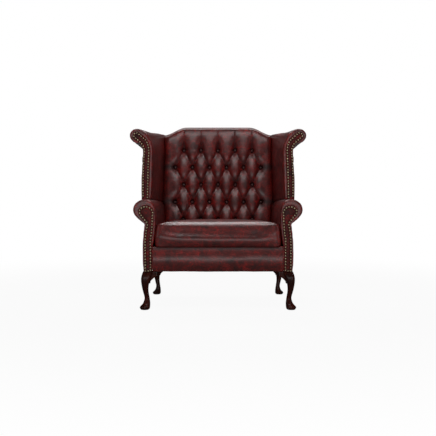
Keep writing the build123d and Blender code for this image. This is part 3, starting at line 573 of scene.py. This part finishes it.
# Sides of the buttoned back: the padding is tucked in hard against the wings and arms.
# Its hide swells outwards until it meets their leather, level by level.
graph = bpy.context.evaluated_depsgraph_get()
walls = [
    BVHTree.FromObject(bpy.data.objects[f"{form}_inside_leather_{side}"], graph)
    for side in ("left", "right")
    for form in ("arm", "wing")
]
rows = points_of(buttoned_back).reshape(columns + 1, ring, 3)
ray_start, ray_length, side_gap = 0.24, 0.2, 0.0008
least_spread, most_spread = -0.012, 0.030
side_reach = back_half_width - outer_button
for column, sign in ((0, -1), (columns, 1)):
    spread = np.zeros(ring)
    for row in range(ring):
        y, z = rows[column, row, 1:]
        start, way = Vector((sign * ray_start, y, z)), Vector((sign, 0, 0))
        hits = [wall.ray_cast(start, way, ray_length)[0] for wall in walls]
        hits = [abs(hit.x) for hit in hits if hit]
        if hits:
            spread[row] = min(hits) - side_gap - back_half_width
    spread = np.clip(spread, least_spread, most_spread)
    for _ in range(6):
        spread = (np.roll(spread, 1) + 2 * spread + np.roll(spread, -1)) / 4
    share = np.clip((np.abs(rows[:, :, 0]) - outer_button) / side_reach, 0, 1) ** 1.6
    share = share * (np.sign(rows[:, :, 0]) == sign)
    rows[:, :, 0] += sign * share * spread[None, :]
move_points(buttoned_back, rows.reshape(-1, 3))


# Facings: boards over the fronts of the arms and wings, thinly padded and covered in leather.
# A row of nails round the edge holds each one, and its leather dips along the row; painted shade darkens
# it a little all over and more along the row.
# Darker and less glossy copy of the oxblood leather; its darker dyes are painted shade on the flat
# fronts.
facing_leather = antiqued_leather(
    "facing_leather",
    deep=(0.018, 0.0030, 0.0026),
    red=(0.046, 0.0040, 0.0034),
    vein=(0.180, 0.0070, 0.0052),
    rough=0.42,
    gloss=0.11,
)
facing_crown, crown_reach = 0.0030, 0.013
nail_dip, dip_reach = 0.0008, 0.006
least_shade, row_shade, shade_reach = 0.20, 0.65, 0.0085
facing_foot, foot_height, foot_drop = 0.238, 0.012, 0.003
for side in ("left", "right"):
    for form in ("arm", "wing"):
        node = f"{form}_facing_{side}"
        facing = sewn_copy(f"{form}_facing_leather_{side}", node, voxel=0.0022, rounds=4)
        points, normals = points_of(facing), normals_of(facing)
        away = nearness(points, nail_places[f"{form}_{side}"])
        crown = facing_crown * (1 - np.exp(-((away / crown_reach) ** 2)))
        crown = crown - nail_dip * np.exp(-((away / dip_reach) ** 2))
        points[:, 1] -= crown * np.clip(-normals[:, 1], 0, 1)
        points[:, 2] -= foot_drop * np.clip((facing_foot - points[:, 2]) / foot_height, 0, 1)
        move_points(facing, points)
        # Painted shade: the facing is darkened a little all over and most along the nail rows.
        facing_shade = least_shade + row_shade * np.exp(-((away / shade_reach) ** 2))
        mark_form(facing, reach=0.0003, rounds=3, darker=facing_shade)
        facing.data.materials.append(facing_leather)
        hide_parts(f"{form}_facing_{side}")
        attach(facing, "frame")


# Dome nails: pressed brass heads on steel shanks, driven along the edges by hand.
# The brass is blackened, and the tops of the domes are lighter: partly rubbed bright again, partly a
# painted highlight.
nail_sides = 12
nail_sink, nail_top = -0.0012, 0.0029
nail_profile = [
    (0.0048, nail_sink),
    (0.0053, -0.0002),
    (0.0052, 0.0004),
    (0.0044, 0.0015),
    (0.0029, 0.0024),
    (0.0012, 0.0028),
]
head_points = [(0, 0, nail_sink)] + [
    (r * math.cos(turn * math.tau / nail_sides), r * math.sin(turn * math.tau / nail_sides), z)
    for r, z in nail_profile
    for turn in range(nail_sides)
] + [(0, 0, nail_top)]
last = len(head_points) - 1
head_faces = [(0, 1 + (turn + 1) % nail_sides, 1 + turn) for turn in range(nail_sides)]
for level in range(len(nail_profile) - 1):
    for turn in range(nail_sides):
        first = 1 + level * nail_sides
        a, b = first + turn, first + (turn + 1) % nail_sides
        head_faces.append((a, b, b + nail_sides, a + nail_sides))
start = 1 + (len(nail_profile) - 1) * nail_sides
head_faces += [(start + turn, start + (turn + 1) % nail_sides, last) for turn in range(nail_sides)]
nail_head = mesh_object("nail_head", head_points, head_faces)
# The tops of the heads are marked for lighter brass: partly rubbed wear, partly painted highlight.
rubbed_and_lit_rings = np.repeat([0.0, 0.0, 0.05, 0.4, 0.9, 1.0], nail_sides)
mark(nail_head, "worn", np.concatenate([[0.0], rubbed_and_lit_rings, [1.0]]))

brass = Finish("antique_brass")
rub_and_highlight = brass.noise(260.0, 4.0, 0.6).step(0.30, 0.6) * brass.attribute("worn")
tarnish = brass.noise(900.0, 2.0)
brass.set(
    Base_Color=brass.blend(rub_and_highlight, (0.030, 0.022, 0.014, 1), (0.46, 0.36, 0.22, 1)),
    Metallic=0.35 + 0.3 * rub_and_highlight,
    Roughness=0.46 - 0.16 * rub_and_highlight + 0.1 * tarnish,
    Normal=brass.bump(tarnish, 0.0003, 0.5),
)


def nail_tree():
    """Geometry nodes that set a nail head on each point, square to the leather."""
    tree = bpy.data.node_groups.new("nail_row", "GeometryNodeTree")
    face = tree.interface
    given = (("Places", "Geometry"), ("Head", "Object"), ("Size spread", "Float"), ("Seed", "Int"))
    for name, kind in given:
        face.new_socket(name, in_out="INPUT", socket_type="NodeSocket" + kind)
    face.new_socket("Nails", in_out="OUTPUT", socket_type="NodeSocketGeometry")

    def add(kind, settings, inputs, output=0):
        return add_node(tree, kind, settings, inputs, output)

    inlet = tree.nodes.new("NodeGroupInput")
    places, head, spread, seed = (Tap(tree, inlet.outputs[place]) for place in range(4))
    spots = add("GeometryNodeMeshToPoints", {}, {"Mesh": places})
    dome = add("GeometryNodeObjectInfo", {}, {"Object": head}, "Geometry")
    outward = {"Name": "outward"}
    outward = add("GeometryNodeInputNamedAttribute", {"data_type": "FLOAT_VECTOR"}, outward, "Attribute")
    square = add("FunctionNodeAlignRotationToVector", {"axis": "Z"}, {"Vector": outward})
    turn = add("FunctionNodeRandomValue", {"data_type": "FLOAT"}, {3: math.tau, "Seed": seed}, 1)
    spin = add("FunctionNodeAxisAngleToRotation", {}, {"Angle": turn})
    way = add("FunctionNodeRotateRotation", {"rotation_space": "LOCAL"}, {0: square, 1: spin})
    sizes = {2: 1 - spread, 3: 1 + spread, "Seed": seed}
    size = add("FunctionNodeRandomValue", {"data_type": "FLOAT"}, sizes, 1)
    driven = {"Points": spots, "Instance": dome, "Rotation": way, "Scale": size}
    driven = add("GeometryNodeInstanceOnPoints", {}, driven)
    real = add("GeometryNodeRealizeInstances", {}, {0: driven})
    finished = add("GeometryNodeSetMaterial", {}, {"Geometry": real, "Material": brass.material})
    tree.links.new(finished.socket, tree.nodes.new("NodeGroupOutput").inputs[0])
    return tree


nail_rows = nail_tree()


def drive_nails(name, places, outward, seed, node):
    """One mesh of nail heads at the given places, in place of a CAD node."""
    points = bpy.data.meshes.new(name + "_places")
    points.from_pydata([tuple(p) for p in places], [], [])
    aim = points.attributes.new("outward", "FLOAT_VECTOR", "POINT")
    aim.data.foreach_set("vector", np.tile(outward, len(places)).astype(np.float32))
    spots = bpy.data.objects.new(name + "_places", points)
    bpy.context.scene.collection.objects.link(spots)
    row = spots.modifiers.new("row", "NODES")
    row.node_group = nail_rows
    inputs = {"Head": nail_head, "Size spread": 0.05, "Seed": seed}
    for item in nail_rows.interface.items_tree:
        if item.name in inputs and item.in_out == "INPUT":
            row[item.identifier] = inputs[item.name]
    graph = bpy.context.evaluated_depsgraph_get()
    made = bpy.data.objects.new(name, bpy.data.meshes.new_from_object(spots.evaluated_get(graph)))
    bpy.context.scene.collection.objects.link(made)
    bpy.data.objects.remove(spots)
    made.data.polygons.foreach_set("use_smooth", [True] * len(made.data.polygons))
    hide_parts(node)
    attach(made, "frame")


forward = np.array([0.0, -1.0, 0.0])
face_sink, rear_raise = 0.0002, 0.0004
for seed, side in enumerate(("left", "right")):
    for form in ("arm", "wing"):
        spots = nail_places[f"{form}_{side}"] + forward * face_sink
        drive_nails(f"{form}_nails_{side}", spots, forward, 3 + seed, f"{form}_facing_nails_{side}")
rearward = np.array([0.0, math.cos(frame_lean), -math.sin(frame_lean)])
spots = nail_places["back"] + rearward * rear_raise
drive_nails("back_nails", spots, rearward, 9, "outside_back_nails")
bpy.data.objects.remove(nail_head)


# Loose cushion: boxed leather cover round a foam core, seamed along both edges of its border.
# It lies on the deck, crowned on top, with its sides pulled in between the corners.
rake = math.radians(2.7)
cushion_front_half, cushion_rear_half = 0.3580, 0.341
cushion_long, cushion_side, cushion_raise = 0.545, 0.129, 0.007
cushion_overhang, deck_front_top, cushion_gap = 0.014, 0.358, 0.0003
cushion_middle, cushion_corner = cushion_long / 2, 0.026
end_pull, hub_half, seam_reach = 0.004, 0.05, 0.0022
cushion_foot_y = facing_y - cushion_overhang
cushion_foot_z = deck_front_top + cushion_raise + cushion_overhang * math.tan(rake) + cushion_gap


def cushion_edge(count, corner, pull, inset):
    """Plan of the cushion as a closed line of even points (across, back)."""
    near, far = cushion_front_half - inset, cushion_rear_half - inset
    front, rear = inset, cushion_long - inset
    corners = [(near, front, 0), (far, rear, 90), (-far, rear, 180), (-near, front, 270)]
    line = []
    for x, y, turn in corners:
        inward_x = -corner if x > 0 else corner
        inward_y = corner if y < cushion_middle else -corner
        for step in range(13):
            angle = math.radians(turn - 90 + 90 * step / 12)
            centre_x, centre_y = x + inward_x, y + inward_y
            line.append((centre_x + corner * math.cos(angle), centre_y + corner * math.sin(angle)))
    line = np.array(line + [line[0]])
    lengths = np.concatenate([[0], np.cumsum(np.hypot(*np.diff(line, axis=0).T))])
    even = np.arange(count) * lengths[-1] / count
    x, y = np.interp(even, lengths, line[:, 0]), np.interp(even, lengths, line[:, 1])
    off_middle = y - cushion_middle
    bow_y = 1 - np.clip(np.abs(x) / near, 0, 1) ** 2
    bow_x = 1 - np.clip(np.abs(off_middle) / cushion_middle, 0, 1) ** 2
    at_side = np.abs(x) > near - hub_half
    at_end = np.abs(off_middle) > cushion_middle - hub_half
    x = x - np.sign(x) * pull * bow_x * at_side
    y = y - np.sign(off_middle) * pull * bow_y * at_end
    return x, y


def cushion_mesh(name, wall, count, crown, fullness):
    """Rings from the middle of the underside, round the border, to the middle of the crown."""
    seam_steps = [0.0, 0.0012, 0.0025, 0.005, 0.009]
    side_heights = seam_steps + list(np.linspace(0.014, cushion_side - 0.014, 30))
    side_heights += [cushion_side - step for step in reversed(seam_steps)]
    crown_shares = list(1 - np.array([0.004, 0.009, 0.018, 0.032])) + list(np.linspace(0.945, 0.02, 46))
    rings = [("under", share) for share in np.linspace(0.02, 0.97, 22)]
    rings += [("side", height) for height in side_heights]
    rings += [("crown", share) for share in crown_shares]
    top = cushion_side - wall * 0.4
    loops = []
    for kind, value in rings:
        if kind == "side":
            share = value / cushion_side
            arch = math.sin(math.pi * share)
            seam = sum(math.exp(-((edge / seam_reach) ** 2)) for edge in (value, cushion_side - value))
            tuck = 0.003 * (1 - share) ** 8 + 0.002 * share**8
            inset = wall + tuck - fullness * arch**0.8 + 0.0012 * seam
            x, y = cushion_edge(count, cushion_corner, end_pull - 0.005 * arch, inset)
            spread = 0.016 * (1 - share) ** 1.5 * min(share / 0.08, 1) ** 0.5
            x = x * (1 + spread - 0.006 * arch)
            z = wall if value < wall else min(value, top)
            if value == 0:
                z += 0.0008
        else:
            inset = wall + (0.007 if kind == "under" else 0.002)
            x, y = cushion_edge(count, cushion_corner, end_pull, inset)
            hub = np.clip(x, -hub_half, hub_half)
            x, y = hub + (x - hub) * value, cushion_middle + (y - cushion_middle) * value
            if kind == "under":
                z = wall + 0.0006 * value
            else:
                z = top + (crown - 0.5 * wall) * (1 - value**2.0) ** 1.08
        loops.append(np.stack([x, y, np.full(count, z)], -1))
    points = np.concatenate(loops)
    faces = []
    for level in range(len(loops) - 1):
        for turn in range(count):
            a, b = level * count + turn, level * count + (turn + 1) % count
            faces.append((a, b, b + count, a + count))
    faces.append(tuple(range(count)))
    faces.append(tuple((len(loops) - 1) * count + turn for turn in range(count)))
    return mesh_object(name, points, faces), points


def set_on_deck(piece, points):
    """Turns a cushion from its own plan to its raked place on the deck."""
    x, back, up = points.T
    y = cushion_foot_y + back * math.cos(rake) + up * math.sin(rake)
    z = cushion_foot_z - back * math.sin(rake) + up * math.cos(rake)
    move_points(piece, np.stack([x, y, z], -1))


def inflated(piece, points, voxel, pressure, cap):
    """How far blowing a cover up as cloth moves each of its points, up to a cap.

    The cloth is a coarse even copy, and each point takes the mean travel of the cloth round it.
    """
    bag = piece.copy()
    bag.data = piece.data.copy()
    bpy.context.scene.collection.objects.link(bag)
    net = bag.modifiers.new("net", "REMESH")
    net.mode, net.voxel_size = "VOXEL", voxel
    graph = bpy.context.evaluated_depsgraph_get()
    plain = bpy.data.meshes.new_from_object(bag.evaluated_get(graph))
    bag.modifiers.clear()
    bag.data = plain
    start = points_of(bag)
    held = bag.vertex_groups.new(name="held")
    held.add([int(i) for i in np.nonzero(start[:, 2] < 0.004)[0]], 1.0, "ADD")
    cloth = bag.modifiers.new("cloth", "CLOTH")
    settings = cloth.settings
    settings.quality, settings.mass = 4, 0.4
    settings.tension_stiffness = settings.compression_stiffness = 18
    settings.shear_stiffness, settings.bending_stiffness = 8, 0.6
    settings.use_pressure, settings.uniform_pressure_force = True, pressure
    settings.effector_weights.gravity = 0
    settings.vertex_group_mass = "held"
    last_frame = 20
    cloth.point_cache.frame_start, cloth.point_cache.frame_end = 1, last_frame
    for frame_number in range(1, last_frame + 1):
        bpy.context.scene.frame_set(frame_number)
    graph = bpy.context.evaluated_depsgraph_get()
    blown = bag.evaluated_get(graph).to_mesh()
    end = np.zeros(len(start) * 3)
    blown.vertices.foreach_get("co", end)
    moved = end.reshape(-1, 3) - start
    length = np.maximum(np.linalg.norm(moved, axis=1), 1e-9)
    moved *= (cap * np.tanh(length / cap) / length)[:, None]
    tree = kdtree.KDTree(len(start))
    for place, spot in enumerate(start):
        tree.insert(spot, place)
    tree.balance()
    carried = np.zeros_like(points)
    for place, spot in enumerate(points):
        found = tree.find_n(spot, 24)
        weights = np.exp(-((np.array([away for _, _, away in found]) / (1.4 * voxel)) ** 2)) + 1e-6
        travel = moved[[index for _, index, _ in found]]
        carried[place] = (travel * weights[:, None]).sum(0) / weights.sum()
    bpy.context.scene.frame_set(1)
    bpy.data.objects.remove(bag)
    return carried


cushion, flat_points = cushion_mesh("loose_cushion", 0.0, 460, crown=0.022, fullness=0.0045)
flat_points = flat_points + inflated(cushion, flat_points, voxel=0.006, pressure=4.0, cap=0.008)
move_points(cushion, flat_points)
flat_x, flat_z = flat_points[:, 0], flat_points[:, 2]
side_share = np.clip(1 - np.abs(flat_z - cushion_side / 2) / (cushion_side / 2), 0, 1)
side_sag, side_wave, seam_gather, side_fold, crown_swell = 0.0012, 0.0020, 0.0011, 0.0022, 0.0014
slump = np.sin(flat_x * 9 + 0.6) * side_sag + ripple(flat_points * (1, 1, 2), 6, 11) * side_wave
near_seam = np.exp(-(((flat_z - cushion_side) / 0.02) ** 2))
gathers = ripple(flat_points * (6, 6, 1), 9, 12) * seam_gather * near_seam
fold = side_fold * np.sin(flat_z / cushion_side * math.tau * 1.1 + flat_x * 3) * side_share
broad = ripple(flat_points, 5, 13) * crown_swell * (flat_z > cushion_side + 0.004)
lift = (slump + fold) * side_share**0.5 + gathers + broad
lift[flat_z < 0.002] = 0
set_on_deck(cushion, flat_points + normals_of(cushion) * lift[:, None])
mark_form(cushion, reach=0.0006, rounds=2)
cushion.data.materials.append(leather)
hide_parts("seat_cushion")
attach(cushion, "cushion")


# Core of the cushion: a block of foam cut a little smaller than the cover.
# A wrap of fibre crowns it and fills the cover out.
foam = Finish("foam")
foam_cells = foam.noise(240.0, 4.0, 0.7)
foam.set(
    Base_Color=foam.blend(foam_cells, (0.62, 0.54, 0.36, 1), (0.80, 0.74, 0.55, 1)),
    Roughness=0.95,
    Normal=foam.bump(foam_cells, 0.001, 0.6),
)
core, core_points = cushion_mesh("foam_core", 0.019, 200, crown=0.036, fullness=0.003)
set_on_deck(core, core_points)
core.data.materials.append(foam.material)
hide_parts("cushion_core")
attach(core, "cushion")


# Front border: a wadded leather panel drawn over the front rail and under its lower edge.
# It is fullest in the middle and tucked back under the cushion, where painted shadow darkens it.
border = sewn_copy("front_border_leather", "front_border", voxel=0.0038, rounds=10)
points, normals = points_of(border), normals_of(border)
border_low, border_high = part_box("front_border")
border_share = np.clip((points[:, 2] - border_low.z) / (border_high.z - border_low.z), 0, 1)
border_fullness, border_tuck, end_spread, end_reach = 0.009, -0.004, 0.0025, 0.02
top_stretch, foot_stretch = 0.011, 0.0055
front_part = np.clip((border_low.y + 0.022 - points[:, 1]) / 0.010, 0, 1)
fullness = border_fullness * np.sin(np.pi * np.clip(border_share / 0.88, 0, 1)) ** 1.2
tucked = border_tuck * np.clip((border_share - 0.80) / 0.20, 0, 1)
points[:, 1] += (tucked - fullness) * front_part
border_end = np.clip((np.abs(points[:, 0]) - border_high.x + end_reach) / end_reach, 0, 1)
points[:, 0] += end_spread * np.sign(points[:, 0]) * border_end
points[:, 2] += top_stretch * np.clip(border_share / 0.6 - 0.6, 0, 1)
points[:, 2] -= foot_stretch * np.clip(1 - border_share / 0.35, 0, 1)
creases = ripple(points * (1, 1, 2.2), 8, 21) * 0.0016 + ripple(points * (4, 1, 0.7), 11, 22) * 0.0005
move_points(border, points + normals * creases[:, None])
# Painted shadow: the top of the border under the cushion is darkened.
mark_form(border, reach=0.0005, rounds=3, darker=np.clip((border_share - 0.84) / 0.12, 0, 1))
border.data.materials.append(leather)
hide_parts("front_border")
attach(border, "frame")


# Outside back: one hide pulled flat over board and hessian, and nailed all round.
# It dips at each nail and ripples slightly between them.
rear_panel = sewn_copy("outside_back_leather", "outside_back", voxel=0.0042, rounds=3)
points, normals = points_of(rear_panel), normals_of(rear_panel)
away = nearness(points, nail_places["back"])
rear_face = np.clip(normals[:, 1], 0, 1)
rear_dip, rear_reach, rear_ripple = 0.0016, 0.008, 0.0012
swell = ripple(points * (1, 1, 0.6), 6, 31) * rear_ripple - rear_dip * np.exp(-((away / rear_reach) ** 2))
move_points(rear_panel, points + normals * (swell * rear_face)[:, None])
mark_form(rear_panel, reach=0.0004, rounds=3)
rear_panel.data.materials.append(leather)
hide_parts("outside_back")
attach(rear_panel, "frame")


# Seat platform: a deck of wadding on hessian over the springs, covered in a dark lining cloth.
# The cushion has pressed it down in the middle.
def woven_cloth(name, dark, light, pitch, rough=0.9):
    """Plain weave with its threads a pitch apart, in two colours."""
    cloth = Finish(name)
    across = cloth.node("ShaderNodeSeparateXYZ", {}, {0: cloth.place})
    along = Tap(cloth.tree, across.socket.node.outputs[1])
    upward = Tap(cloth.tree, across.socket.node.outputs[2])
    warp = across.sum("SINE", across * (math.tau / pitch))
    weft = across.sum("SINE", (along + upward) * (math.tau / pitch))
    weave = 0.5 + 0.5 * warp * weft
    slub = cloth.noise(120.0, 3.0, 0.6)
    cloth.set(
        Base_Color=cloth.blend(weave * 0.7 + slub * 0.3, (*dark, 1), (*light, 1)),
        Roughness=rough,
        Normal=cloth.bump(weave + slub * 0.5, pitch * 0.25, 0.6),
    )
    return cloth.material


lining = woven_cloth("platform_cloth", (0.020, 0.006, 0.006), (0.060, 0.018, 0.016), pitch=0.0011)
deck = sewn_copy("deck_pad", "seat_platform", voxel=0.005, rounds=6)
points, normals = points_of(deck), normals_of(deck)
deck_low, deck_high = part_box("seat_platform")
middle_share = (1 - np.abs(points[:, 0] / deck_high.x) ** 3).clip(0, 1)
rear_share = (points[:, 1] - deck_low.y) / (deck_high.y - deck_low.y)
middle_share = middle_share * (1 - np.abs(rear_share * 2 - 1) ** 3).clip(0, 1)
deck_gap, deck_fall = 0.0006, 0.0012
deck_rise = cushion_raise - deck_gap - deck_fall * (1 - middle_share)
points[:, 2] += deck_rise * np.clip(normals[:, 2], 0, 1)
move_points(deck, points)
deck.data.materials.append(lining)
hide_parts("seat_platform")
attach(deck, "frame")


# Dust cover: one layer of black cambric tacked under the seat rails.
# It is cut to the taper of the seat, and hangs slightly slack in the middle.
cambric = woven_cloth("dust_cloth", (0.006, 0.006, 0.007), (0.022, 0.022, 0.024), pitch=0.0013)
cover_low, cover_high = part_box("dust_cover")
cover_points, cover_faces = [], []
cover_columns, cover_rows = 70, 60
cover_taper, cover_side_margin, cover_end_margin, cover_skin = 0.045, 0.0015, 0.001, 0.0002
cover_sag, cover_pucker = 0.004, 0.0009
cover_long = cover_high.y - cover_low.y
for z in (cover_low.z + cover_skin, cover_high.z - cover_skin):
    for row in range(cover_rows + 1):
        back = row / cover_rows
        half = cover_high.x * (1 - cover_taper * back) - cover_side_margin
        y = cover_low.y + cover_end_margin + back * (cover_long - 2 * cover_end_margin)
        for column in range(cover_columns + 1):
            side = column / cover_columns * 2 - 1
            slack = (1 - side**4) * (1 - (2 * back - 1) ** 4)
            pucker = cover_pucker * math.sin(side * 30) * math.sin(back * 22) * slack
            cover_points.append((side * half, y, z - cover_sag * slack + pucker))
width = cover_columns + 1
level_size = width * (cover_rows + 1)
for row in range(cover_rows):
    for column in range(cover_columns):
        a = row * width + column
        cover_faces.append((a, a + width, a + width + 1, a + 1))
        b = a + level_size
        cover_faces.append((b, b + 1, b + width + 1, b + width))
rim = list(range(width)) + [row * width + cover_columns for row in range(1, cover_rows + 1)]
rim += [cover_rows * width + column for column in range(cover_columns - 1, -1, -1)]
rim += [row * width for row in range(cover_rows - 1, 0, -1)]
for place, a in enumerate(rim):
    b = rim[(place + 1) % len(rim)]
    cover_faces.append((a, b, b + level_size, a + level_size))
dust_sheet = mesh_object("dust_sheet", cover_points, cover_faces)
dust_sheet.data.materials.append(cambric)
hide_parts("dust_cover")
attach(dust_sheet, "frame")


# Legs: cabriole legs carved from solid mahogany, stained near black and polished.
# Their edges are rubbed a little redder than the rest.
mahogany = Finish("mahogany")
grain = mahogany.noise(26.0, 6.0, 0.62, stretch=(1.0, 1.0, 0.16))
figure = mahogany.noise(150.0, 5.0, 0.6, stretch=(1.0, 1.0, 0.05))
rubbed = mahogany.attribute("worn")
stain = mahogany.blend(grain.step(0.40, 0.68), (0.0110, 0.0016, 0.0007, 1), (0.038, 0.0048, 0.0020, 1))
stain = mahogany.blend(figure.step(0.48, 0.70) * 0.5, stain, (0.070, 0.0100, 0.0046, 1))
stain = mahogany.blend(rubbed.step(0.2, 0.9) * 0.35, stain, (0.060, 0.013, 0.008, 1))
mahogany.set(
    Base_Color=stain,
    Roughness=0.24 + 0.14 * figure,
    Normal=mahogany.bump(figure, 0.0004, 0.35),
    Specular_IOR_Level=0.08,
    Coat_Weight=0.06,
    Coat_Roughness=0.18,
)
for side in ("left", "right"):
    for place in ("front", "rear"):
        node = f"{place}_leg_{side}"
        leg = sewn_copy(f"{place}_cabriole_{side}", node, voxel=0.0021, rounds=10)
        mark_form(leg, reach=0.00035, rounds=4)
        leg.data.materials.append(mahogany.material)
        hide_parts(f"{place}_leg_{side}")
        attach(leg, "frame")


# Hidden frame: sawn beech rails and posts, with blocks glued and screwed in the corners.
# Its springs, clips, screws and bolts are steel, and its straps are woven jute.
beech = Finish("frame_timber")
rings = beech.noise(18.0, 5.0, 0.6, stretch=(0.5, 0.5, 1.0))
pores = beech.noise(320.0, 3.0, 0.6, stretch=(0.1, 0.1, 1.0))
beech.set(
    Base_Color=beech.blend(rings.step(0.35, 0.7), (0.40, 0.25, 0.13, 1), (0.62, 0.44, 0.26, 1)),
    Roughness=0.62 + 0.2 * pores,
    Normal=beech.bump(pores, 0.0004, 0.5),
)
steel = Finish("steel")
drawn = steel.noise(700.0, 2.0)
steel.set(
    Base_Color=steel.blend(drawn, (0.30, 0.30, 0.32, 1), (0.52, 0.52, 0.54, 1)),
    Metallic=1.0,
    Roughness=0.28 + 0.2 * drawn,
)
jute = woven_cloth("jute", (0.20, 0.13, 0.06), (0.46, 0.33, 0.18), pitch=0.0034)
timber_names = ("arm_post", "arm_rail", "back_lower", "back_post", "back_top")
timber_names += ("corner_blocks", "seat_rail", "wing_post", "wing_rail")
for name, node in nodes.items():
    if node.hide_render or name == "back_buttons":
        continue
    material = beech.material if name.startswith(timber_names) else steel.material
    if name == "back_webbing":
        material = jute
    node.data.materials.clear()
    node.data.materials.append(material)


# Stage: a pale floor, large soft lamps in front, above and to the sides, and the camera.
# The floor glows towards the eye as an overlit studio floor does, least under the seat.
floor_half = 30.0
floor_corners = [
    (-floor_half, -floor_half, 0),
    (floor_half, -floor_half, 0),
    (floor_half, floor_half, 0),
    (-floor_half, floor_half, 0),
]
floor = mesh_object("floor", floor_corners, [(0, 1, 2, 3)])
pale = Finish("pale_floor")
seen = pale.node("ShaderNodeLightPath", output="Is Camera Ray")
glow = pale.node("ShaderNodeEmission", {}, {"Color": (1, 1, 1, 1), "Strength": 1.0})
pale.set(Base_Color=(0.34, 0.34, 0.34, 1), Roughness=0.9)
away = pale.node("ShaderNodeVectorMath", {"operation": "LENGTH"}, {0: pale.place}, "Value")
lit_share = seen * (0.94 + 0.06 * away.step(1.2, 3.2))
plain = Tap(pale.tree, pale.shader.outputs[0])
mixed = pale.node("ShaderNodeMixShader", {}, {0: lit_share, 1: plain, 2: glow})
pale.tree.links.new(mixed.socket, pale.tree.nodes["Material Output"].inputs[0])
floor.data.materials.append(pale.material)

world = bpy.data.worlds.new("studio")
bpy.context.scene.world = world
world.use_nodes = True
sky = world.node_tree
sky_light, sky_seen = 0.035, 1.0
direct = add_node(sky, "ShaderNodeLightPath", output="Is Camera Ray")
through = add_node(sky, "ShaderNodeLightPath", output="Is Transmission Ray")
either = direct.sum("MAXIMUM", direct, through)
strength = add_node(sky, "ShaderNodeMapRange", {}, {0: either, 3: sky_light, 4: sky_seen})
sky.links.new(strength.socket, sky.nodes["Background"].inputs["Strength"])
sky.nodes["Background"].inputs["Color"].default_value = (1, 1, 1, 1)


def soft_lamp(name, place, target, size, power):
    """Oblong lamp turned towards a target."""
    lamp = bpy.data.lights.new(name, "AREA")
    lamp.shape, lamp.size, lamp.size_y, lamp.energy = "RECTANGLE", size[0], size[1], power
    holder = bpy.data.objects.new(name, lamp)
    holder.location = place
    holder.rotation_mode = "QUATERNION"
    holder.rotation_quaternion = (Vector(target) - Vector(place)).to_track_quat("-Z", "Y")
    bpy.context.scene.collection.objects.link(holder)


soft_lamp("top_lamp", (0, -1.9, 3.3), (0, 0.1, 0.6), (3.0, 0.9), 60)
soft_lamp("crown_lamp", (0, 1.7, 3.1), (0, -0.2, 0.5), (2.8, 1.0), 72)
soft_lamp("left_lamp", (-3.2, -1.8, 1.5), (0, 0, 0.6), (1.0, 2.4), 14)
soft_lamp("right_lamp", (3.2, -1.8, 1.5), (0, 0, 0.6), (1.0, 2.4), 14)
soft_lamp("front_lamp", (0, -5.6, 0.74), (0, 0, 0.6), (4.4, 0.9), 80)

camera_distance, camera_height, camera_tilt = 4.4, 0.740, math.radians(2.72)
lens = bpy.data.cameras.new("camera")
lens.lens, lens.sensor_width = 63.4, 36.0
camera = bpy.data.objects.new("camera", lens)
camera.location = (0, facing_y - camera_distance, camera_height)
camera.rotation_euler = (math.radians(90) - camera_tilt, 0, 0)
bpy.context.scene.collection.objects.link(camera)
bpy.context.scene.camera = camera
bpy.context.scene.view_settings.view_transform = "Standard"
